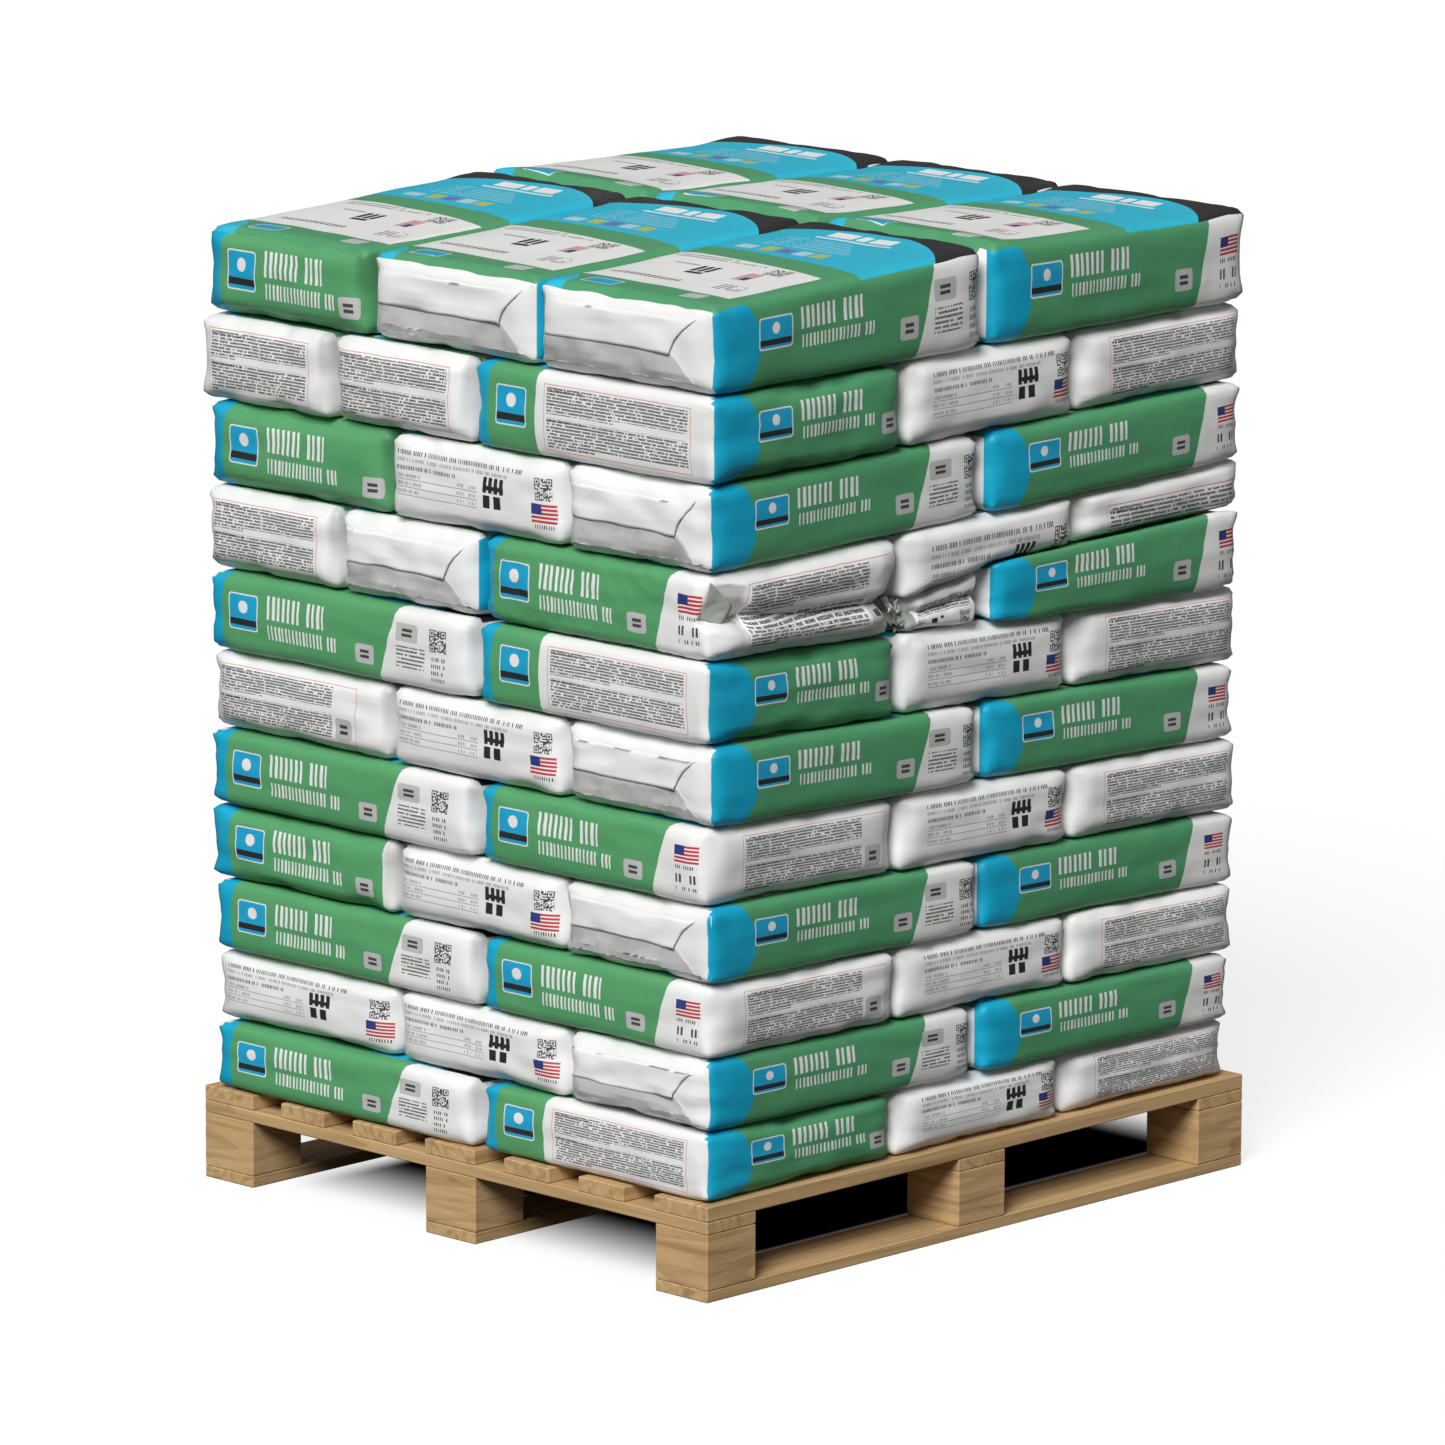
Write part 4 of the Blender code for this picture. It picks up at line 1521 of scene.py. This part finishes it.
level_sheets = outer_sheets(LEVELLING, layout(LEVELLING))[-3:]
level_sheets[0][FRONT], level_sheets[0][RIGHT] = "long_flag_torn", "small_marked_torn"
creased_bag = lay_levelling(0, LEVEL_FLOOR, 73, "left", (0.024, 0.060, 0.024, 0.024))
hanging_bag = lay_levelling(1, shelf, 80, "right")
squeezed_bag = lay_levelling(2, shelf, 85, "right")
under_shelf = lowered(shelf, 2 * SEAT)
extra_bag = lay_bag("bag_extra", EXTRA_CELL, LEVEL_FLOOR, under_shelf,
                    ["plain", "long_flag_end", "fold", "plain", "top", "plain"], "extra_bag", 5,
                    "front", onto_top=(0.0, 0.060, 0.0, 0.0))
burst_bag = lay_bag("bag_burst", BURST_CELL, LEVEL_FLOOR, under_shelf,
                    ["plain", "burst", "plain", "plain", "top", "plain"], "burst_bag", 11,
                    "front", onto_top=(0.0, 0.050, 0.0, 0.0))
at_lip = (EXTRA_CELL[1], SHELF_START)
print("shelf over the burst bag:", round(float(shelf(*at_lip) - LEVEL_FLOOR(*at_lip)), 3))

# %% [markdown]
# ## Creases and tears
#
# The corner bag of the eighth course is folded in along its right end. Its front corner is torn off,
# and the burst bag is crumpled. Such damage is finer than the mesh of a bag, so each square of these
# two bags is first cut in four. Then their points are moved: into a long sharp groove, into dents
# around a spot, and behind a plane across the corner, where a sheet of the grey inner ply is laid. An
# attribute on the points tells the torn sheets where that ply shows.

# %% Crease the corner bag
def finer(mesh):
    """Cuts each square of a bag into four."""
    bm = bmesh.new()
    bm.from_mesh(mesh)
    bmesh.ops.subdivide_edges(bm, edges=bm.edges[:], cuts=1, use_grid_fill=True)
    bm.to_mesh(mesh)
    bm.free()


def dent(points, spot, radius, depth, way):
    """Pushes the points near a spot along a direction."""
    far = np.linalg.norm(points - np.array(spot), axis=1) / radius
    return points + np.exp(-far ** 2)[:, None] * depth * np.array(Vector(way).normalized())


def long_groove(points, cell, beds, middle, slope, half_width, depths):
    """A sharp fold along the right end of a bag. Depths are its depth at the front and back."""
    _, right, front, back = cell[:4]
    x, y, z = points.T
    share = np.clip((y - front) / (back - front), 0.0, 1.0)
    height = (z - beds[0](x, y)) / (beds[1](x, y) - beds[0](x, y))
    wander = middle + 0.02 * np.sin(share * 9.0) + slope * (share - 0.5)
    inside = np.clip(1 - np.abs(height - wander) / half_width, 0.0, 1.0) ** 1.4
    near = smooth_rise(x, right - 0.11, right - 0.02) * smooth_rise(share, 0.0, 0.10)
    depth = depths[0] + (depths[1] - depths[0]) * share
    fallen = np.where(height > wander, -0.35, 0.25) * inside * depth
    lobes = 0.006 * np.sin(np.clip(height, 0, 1) * np.pi * 2) ** 2
    return points + np.stack((near * (lobes - inside * depth), 0 * x, near * fallen), axis=1)


def write_tear(mesh, spot, radius):
    """An attribute that rises towards the spot, and is one half at the rim of the tear."""
    far = np.linalg.norm((points_of(mesh) - np.array(spot)) / np.array(radius), axis=1)
    tear = np.clip(1 - far / 2, 0.0, 1.0).astype(np.float32)
    mesh.attributes.new("tear", "FLOAT", "POINT").data.foreach_set("value", tear)


TORN_PAPER = Sheet("torn_paper", INNER_PLY).finish(0.6)
corner_x, corner_y = level_cells[0][1], level_cells[0][2]
corner_z = float(LEVEL_FLOOR(corner_x, corner_y))
CORNER = Vector((corner_x, corner_y, corner_z))
POCKET = [CORNER + Vector(place) for place in (
    (-0.022, 0.000, 0.058), (-0.001, 0.028, 0.050), (-0.001, 0.044, 0.080), (-0.002, 0.001, 0.120))]
END_TEAR = (corner_x - 0.004, level_cells[0][3] - 0.004, corner_z + 0.030)
BEHIND_PLANE, DEEPER_AT_FOOT = 0.003, 0.010
FOOT_OF_CUT = corner_z + 0.055


def pocket_plane():
    """The outward normal of the plane through the pocket's first and last two corners."""
    across, up = POCKET[2] - POCKET[0], POCKET[3] - POCKET[0]
    return across.cross(up).normalized()


def cut_corner(points):
    """Moves what stands past the pocket's plane to just behind it, above the pocket's foot."""
    x, y, z = points.T
    normal = np.array(pocket_plane())
    past = (points - np.array(POCKET[0])) @ normal + BEHIND_PLANE
    at_foot = 1 - smooth_rise(z, FOOT_OF_CUT, FOOT_OF_CUT + 0.035)
    past = past + DEEPER_AT_FOOT * at_foot * smooth_rise(x, corner_x - 0.022, corner_x - 0.008)
    near = np.linalg.norm(points[:, :2] - np.array(CORNER.xy), axis=1)
    low = FOOT_OF_CUT - 0.2 * (y - corner_y)
    share = smooth_rise(z, low - 0.006, low + 0.002) * (1 - smooth_rise(near, 0.06, 0.08))
    share = share * smooth_rise(x, corner_x - 0.036, corner_x - 0.024)
    return points - (np.maximum(past, 0.0) * share)[:, None] * normal


def thick_sheet(bm, name, material, node):
    """Gives a grid the thickness of paper and makes it a piece."""
    bmesh.ops.recalc_face_normals(bm, faces=bm.faces[:])
    bmesh.ops.solidify(bm, geom=bm.faces[:], thickness=PAPER)
    return declare(piece_of(mesh_from(bm, name), material), node)


def pocket_sheet():
    """The grey ply that shows where the corner is torn off: a patch between four points."""
    bm = bmesh.new()
    bmesh.ops.create_grid(bm, x_segments=12, y_segments=12, size=0.5)
    normal = pocket_plane()
    for vert in bm.verts:
        across, up = vert.co.x + 0.5, vert.co.y + 0.5
        spot = POCKET[0].lerp(POCKET[1], across).lerp(POCKET[3].lerp(POCKET[2], across), up)
        ragged = noise.noise(spot * 90) * 0.002
        vert.co = spot + normal * (0.0005 + ragged - 0.009 * (1 - up) ** 2)
    return thick_sheet(bm, "pocket", Sheet("pocket_paper", POCKET_PLY).finish(0.4),
                       course_node(LEVELLING))


def crease_corner_bag():
    finer(creased_bag.data)
    points = points_of(creased_bag.data)
    write_tear(creased_bag.data, END_TEAR, (0.030, 0.014, 0.022))
    points = long_groove(points, level_cells[0], (LEVEL_FLOOR, LEVEL_ROOF), 0.41, -0.18, 0.13,
                         (0.022, 0.034))
    points = cut_corner(points)
    points = dent(points, (corner_x, corner_y + 0.075, corner_z + 0.058), 0.018, 0.012, (-1, 0, 0))
    points = dent(points, END_TEAR, 0.028, 0.030, (-0.8, -0.5, 0.2))
    with_points(creased_bag.data, uneven(points, 3, 60.0, 0.0012))


def crumple_burst_bag():
    finer(burst_bag.data)
    _, right, front, back = BURST_CELL[:4]
    points = points_of(burst_bag.data)
    foot = float(LEVEL_FLOOR(right, front))
    write_tear(burst_bag.data, (right - 0.010, front + 0.004, foot + 0.014), (0.030, 0.024, 0.020))
    points = long_groove(points, BURST_CELL, (LEVEL_FLOOR, under_shelf), 0.56, 0.0, 0.20,
                         (0.014, 0.008))
    points = dent(points, (right, front, foot + 0.03), 0.035, 0.016, (-0.6, 0.8, 0.0))
    crumples = uneven(points, 8, 34.0, 0.0045)
    crumples[:, 0] = np.minimum(crumples[:, 0], right)
    crumples[:, 2] = np.clip(crumples[:, 2], points[:, 2].min(), None)
    near_extra = smooth_rise(points[:, 0], right - 0.12, right - 0.02)
    crumples[:, 1] -= 0.014 * near_extra * smooth_rise(points[:, 1], back - 0.05, back)
    with_points(burst_bag.data, points + (crumples - points) * 0.8)


crease_corner_bag()
crumple_burst_bag()
pocket_sheet()
print("finer bags:", len(creased_bag.data.polygons), "squares each")

# %% [markdown]
# ## A bag that bulges
#
# The extra bag carries half the load above it on its back. The powder has gone to its free side,
# which stands proud and rises in front of the two bags on top. Their lower edges are tucked in there.

# %% Bulge the extra bag
BULGE = 0.010
CORNER_OUT = 0.011
RIM, SAG = 0.010, 0.006
TUCK = 0.008


def bulge_extra_bag():
    points = points_of(extra_bag.data)
    x, y, z = points.T
    floor, roof = LEVEL_FLOOR(x, y), under_shelf(x, y)
    height = (z - floor) / (roof - floor)
    outer = smooth_rise(x, EXTRA_CELL[1] - 0.024, EXTRA_CELL[1] - 0.006)
    rise = RIM * smooth_rise(height, 0.30, 0.95) - SAG * (1 - smooth_rise(height, 0.05, 0.45))
    corner = smooth_rise(x, EXTRA_CELL[1] - 0.10, EXTRA_CELL[1])
    corner = corner * (1 - smooth_rise(y, EXTRA_CELL[2], EXTRA_CELL[2] + 0.12))
    moves = np.stack((BULGE * outer, -CORNER_OUT * corner, rise * outer), axis=1)
    with_points(extra_bag.data, points + moves)


def tuck_lower_edge(bag):
    """Moves the foot of a bag's right side in, as far as it lies over the extra bag."""
    points = points_of(bag.data)
    x, y, z = points.T
    over = z - shelf(x, y)
    share = smooth_rise(x, EXTRA_CELL[1] - 0.080, EXTRA_CELL[1] - 0.010)
    share = share * (1 - smooth_rise(over, 0.004, 0.022))
    share = share * smooth_rise(y, SHELF_LEVEL - 0.030, SHELF_LEVEL + 0.010)
    with_points(bag.data, points - np.stack((TUCK * share, 0 * x, 0 * x), axis=1))


bulge_extra_bag()
fold_end(extra_bag, EXTRA_CELL, (LEVEL_FLOOR, under_shelf), 1, "extra_bag")
tuck_lower_edge(hanging_bag)
tuck_lower_edge(squeezed_bag)
print("extra bag", round(max(v.co.x for v in extra_bag.data.vertices), 3), "m at its widest")

# %% [markdown]
# ## Scraps of paper
#
# Where the bag burst, small scraps of its paper stand out between it and the corner bag. Each is a
# grid of a few squares with a ragged outline, bent and turned its own way. That is enough for pieces
# the size of a thumb.

# %% Torn scraps
SCRAP_SQUARES = 10


def scrap(name, place, size, turns, seed):
    """A scrap of torn sack: a small grid with a ragged outline, bent and crumpled."""
    bm = bmesh.new()
    bmesh.ops.create_grid(bm, x_segments=SCRAP_SQUARES, y_segments=SCRAP_SQUARES, size=0.5)
    turn = Matrix.Rotation(turns[2], 4, "Z") @ Matrix.Rotation(turns[1], 4, "Y")
    turn = turn @ Matrix.Rotation(turns[0], 4, "X")
    for vert in bm.verts:
        x, y = vert.co.x, vert.co.y
        ragged = 1 + 0.45 * noise.noise(Vector((x * 5 + seed, y * 5, seed * 1.3)))
        bend = 0.30 * (x * x + 0.5 * y) + 0.16 * noise.noise(Vector((x * 3, y * 3, seed)))
        flat = Vector((x * size[0] * ragged, y * size[1] * ragged, bend * size[0]))
        vert.co = Vector(place) + (turn @ flat)
    return thick_sheet(bm, name, TORN_PAPER if seed % 2 else FLAP_PAPER, "burst_bag")


tear_y = SHELF_START
tear_z = float(LEVEL_FLOOR(corner_x, tear_y))
SCRAPS = (
    ((corner_x - 0.022, tear_y + 0.004, tear_z + 0.030), (0.034, 0.022), (0.3, 1.1, 0.4)),
    ((corner_x - 0.014, tear_y - 0.010, tear_z + 0.046), (0.026, 0.016), (-0.5, 0.9, 1.2)),
    ((corner_x - 0.024, tear_y + 0.020, tear_z + 0.016), (0.028, 0.022), (0.9, 0.7, -0.4)),
    ((corner_x - 0.016, tear_y + 0.014, tear_z + 0.040), (0.020, 0.018), (0.2, 1.4, 0.8)),
)
for number, (place, size, turns) in enumerate(SCRAPS, 1):
    scrap(f"scrap_{number}", place, size, turns, number)
print(len(SCRAPS), "scraps near", [round(value, 3) for value in (corner_x, tear_y, tear_z)])

# %% [markdown]
# ## Pine
#
# The pallet is of fresh sawn pine: a pale tan with darker lines along the grain and a few knots.
# Grain could be one stretched noise, but real grain has broad bands, fine lines within them, and
# knots that push the lines aside. The group adds the three up, and every board starts at another
# place in it.

# %% Pine
def pine_group():
    n, given, results = new_group("Sawn Pine", ("Place", "Stretch"), (), {
        "Colour": COLOUR, "Roughness": NUMBER, "Height": NUMBER})
    flattened = n.vector("MULTIPLY", given["Stretch"], (1.0, 1.0, 0.7))
    knots = n.add("ShaderNodeTexVoronoi", {
        "Vector": n.vector("MULTIPLY", given["Place"], flattened), "Scale": 3.2}, "Distance")
    knot = n.inverse(n.step(knots, 0.02, 0.16))
    bent = n.vector("ADD", given["Place"], n.joined(0.0, 0.0, n.math("MULTIPLY", knot, 0.012)))
    drawn = n.vector("MULTIPLY", bent, given["Stretch"])
    bands = n.noise(drawn, 9.0, 2.0, 0.50)
    lines = n.noise(drawn, 64.0, 3.0, 0.6)
    fine = n.noise(drawn, 300.0, 2.0, 0.5)
    rings = n.math("FRACT", n.math("MULTIPLY", bands, 14.0))
    ring = n.math("MULTIPLY", n.step(rings, 0.35, 0.95), 0.38)
    dark = n.math("MULTIPLY_ADD", n.step(lines, 0.44, 0.70), 0.50, ring)
    dark = n.math("MULTIPLY_ADD", n.step(fine, 0.45, 0.75), 0.22, dark)
    pale_colour = (0.570, 0.378, 0.185, 1.0)
    line_colour = (0.250, 0.138, 0.055, 1.0)
    colour = n.mixed(n.math("MULTIPLY", dark, 0.75, clamp=True), pale_colour, line_colour)
    core = n.inverse(n.step(knots, 0.012, 0.05))
    knot_colour = (0.20, 0.10, 0.045, 1.0)
    colour = n.mixed(n.math("MULTIPLY", core, 0.7), colour, knot_colour)
    n.feed(results["Colour"], colour)
    n.feed(results["Roughness"], n.mixed_values(dark, 0.60, 0.78))
    n.feed(results["Height"], n.math("SUBTRACT", fine, n.math("MULTIPLY", dark, 0.6)))
    return n.tree


SAWN_PINE = pine_group()
GRAIN = {"x": (0.035, 1.0, 1.0), "y": (1.0, 0.035, 1.0), "block": (0.10, 0.10, 1.0)}


def pine(name, way, start):
    """Pine with its grain along an axis. Start is where in the wood this piece was cut."""
    made, n, shader = new_material(name)
    place = n.add("ShaderNodeTexCoord", output="Object")
    moved = n.add("ShaderNodeMapping", {"Vector": place, "Location": start})
    wood = n.group(SAWN_PINE, Place=moved, Stretch=GRAIN[way]).node.outputs
    n.surface(shader, wood["Colour"], wood, 0.30, 0.0015, 0.25)
    return made


def grain_way(node):
    if node.startswith("block"):
        return "block"
    return "x" if node.startswith("stringer") else "y"


timber = sorted(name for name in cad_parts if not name.endswith("_bag")
                and not name.startswith("bag_"))
for number, node in enumerate(timber):
    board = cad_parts[node]
    board.data.materials.clear()
    board.data.materials.append(pine("pine_" + node, grain_way(node),
                                     (number * 1.37, number * 2.11, number * 0.73)))
print(len(timber), "pieces of pine")

# %% [markdown]
# ## The floor
#
# The load stands on a plain pale floor, which is white to the camera but throws little light back, so
# that the undersides stay dark. A real floor under a pallet is dark too, because no light gets there.
# A path tracer would find that by itself, but the glow that makes this floor white has to be taken
# away there by hand.

# %% Floor
FLOOR_SIZE = 30.0
SEEN_FLOOR, LIT_FLOOR = 0.22, 0.10
FLOOR_GLOW = 0.80


def painted_floor_shadow(n):
    """Painted shadow: one under the load's middle, fading towards the sides and front, and past the
    back.
    """
    x, y, _ = n.parts(n.add("ShaderNodeTexCoord", output="Object"))
    inward = n.math("SUBTRACT", cad_box[1].x, n.math("ABSOLUTE", x))
    from_front = n.math("SUBTRACT", y, cad_box[0].y)
    to_back = n.math("SUBTRACT", cad_box[1].y, y)
    dark = n.math("MULTIPLY", n.step(inward, 0.10, 0.165), n.step(from_front, 0.02, 0.28))
    return n.math("MULTIPLY", dark, n.step(to_back, -0.17, 0.0))


def pale_floor():
    bm = bmesh.new()
    bmesh.ops.create_grid(bm, x_segments=1, y_segments=1, size=FLOOR_SIZE / 2)
    made, n, shader = new_material("pale_floor")
    open_floor = n.inverse(painted_floor_shadow(n))
    seen = n.add("ShaderNodeLightPath", output="Is Camera Ray")
    # The floor's grey and its glow go to nothing under the load: a painted shadow.
    grey = n.math("MULTIPLY", n.mixed_values(seen, LIT_FLOOR, SEEN_FLOOR), open_floor)
    glow = n.math("MULTIPLY", seen, n.math("MULTIPLY", open_floor, FLOOR_GLOW))
    for name, value in (("Base Color", n.joined(grey, grey, grey)), ("Roughness", 0.9),
                        ("Specular IOR Level", 0.0), ("Emission Color", (1.0, 1.0, 1.0, 1.0)),
                        ("Emission Strength", glow)):
        n.feed(shader[name], value)
    floor_piece = piece_of(mesh_from(bm, "floor"), made)


pale_floor()
print("floor", FLOOR_SIZE, "m across")

# %% [markdown]
# ## Light
#
# One soft sun comes from the front and from above, and only grazes the right side. So the tops and
# the front are bright, and the right side lies in soft shade. A sky that is brighter overhead fills
# the shadows. A studio would do it with lamps, but a sun and a sky need no places of their own.

# %% Sun and sky
SKY_LOW, SKY_HIGH = 0.12, 0.24
SUN_STRENGTH = 3.62
SUN_PLACE = Vector((0.345, -0.666, 0.66))
SUN_SOFTNESS = math.radians(26)


def white_sky():
    """Light from all round, more of it from above. To the camera the sky is white."""
    world = bpy.data.worlds.new("sky")
    bpy.context.scene.world = world
    world.use_nodes = True
    n = Nodes(world.node_tree)
    seen = n.add("ShaderNodeLightPath", output="Is Camera Ray")
    _, _, upward = n.parts(n.add("ShaderNodeTexCoord", output="Generated"))
    light = n.mixed_values(n.math("MAXIMUM", upward, 0.0), SKY_LOW, SKY_HIGH)
    background = world.node_tree.nodes["Background"]
    background.inputs["Color"].default_value = (1.0, 1.0, 1.0, 1.0)
    n.feed(background.inputs["Strength"], n.mixed_values(seen, light, 1.0))


def soft_sun():
    data = bpy.data.lights.new("sun", "SUN")
    data.energy = SUN_STRENGTH
    data.angle = SUN_SOFTNESS
    sun = link(bpy.data.objects.new("sun", data))
    aim(sun, SUN_PLACE * 5, -SUN_PLACE)


white_sky()
soft_sun()
bpy.context.scene.view_settings.view_transform = "Standard"
print("sky", SKY_LOW, "to", SKY_HIGH, "sun", SUN_STRENGTH)
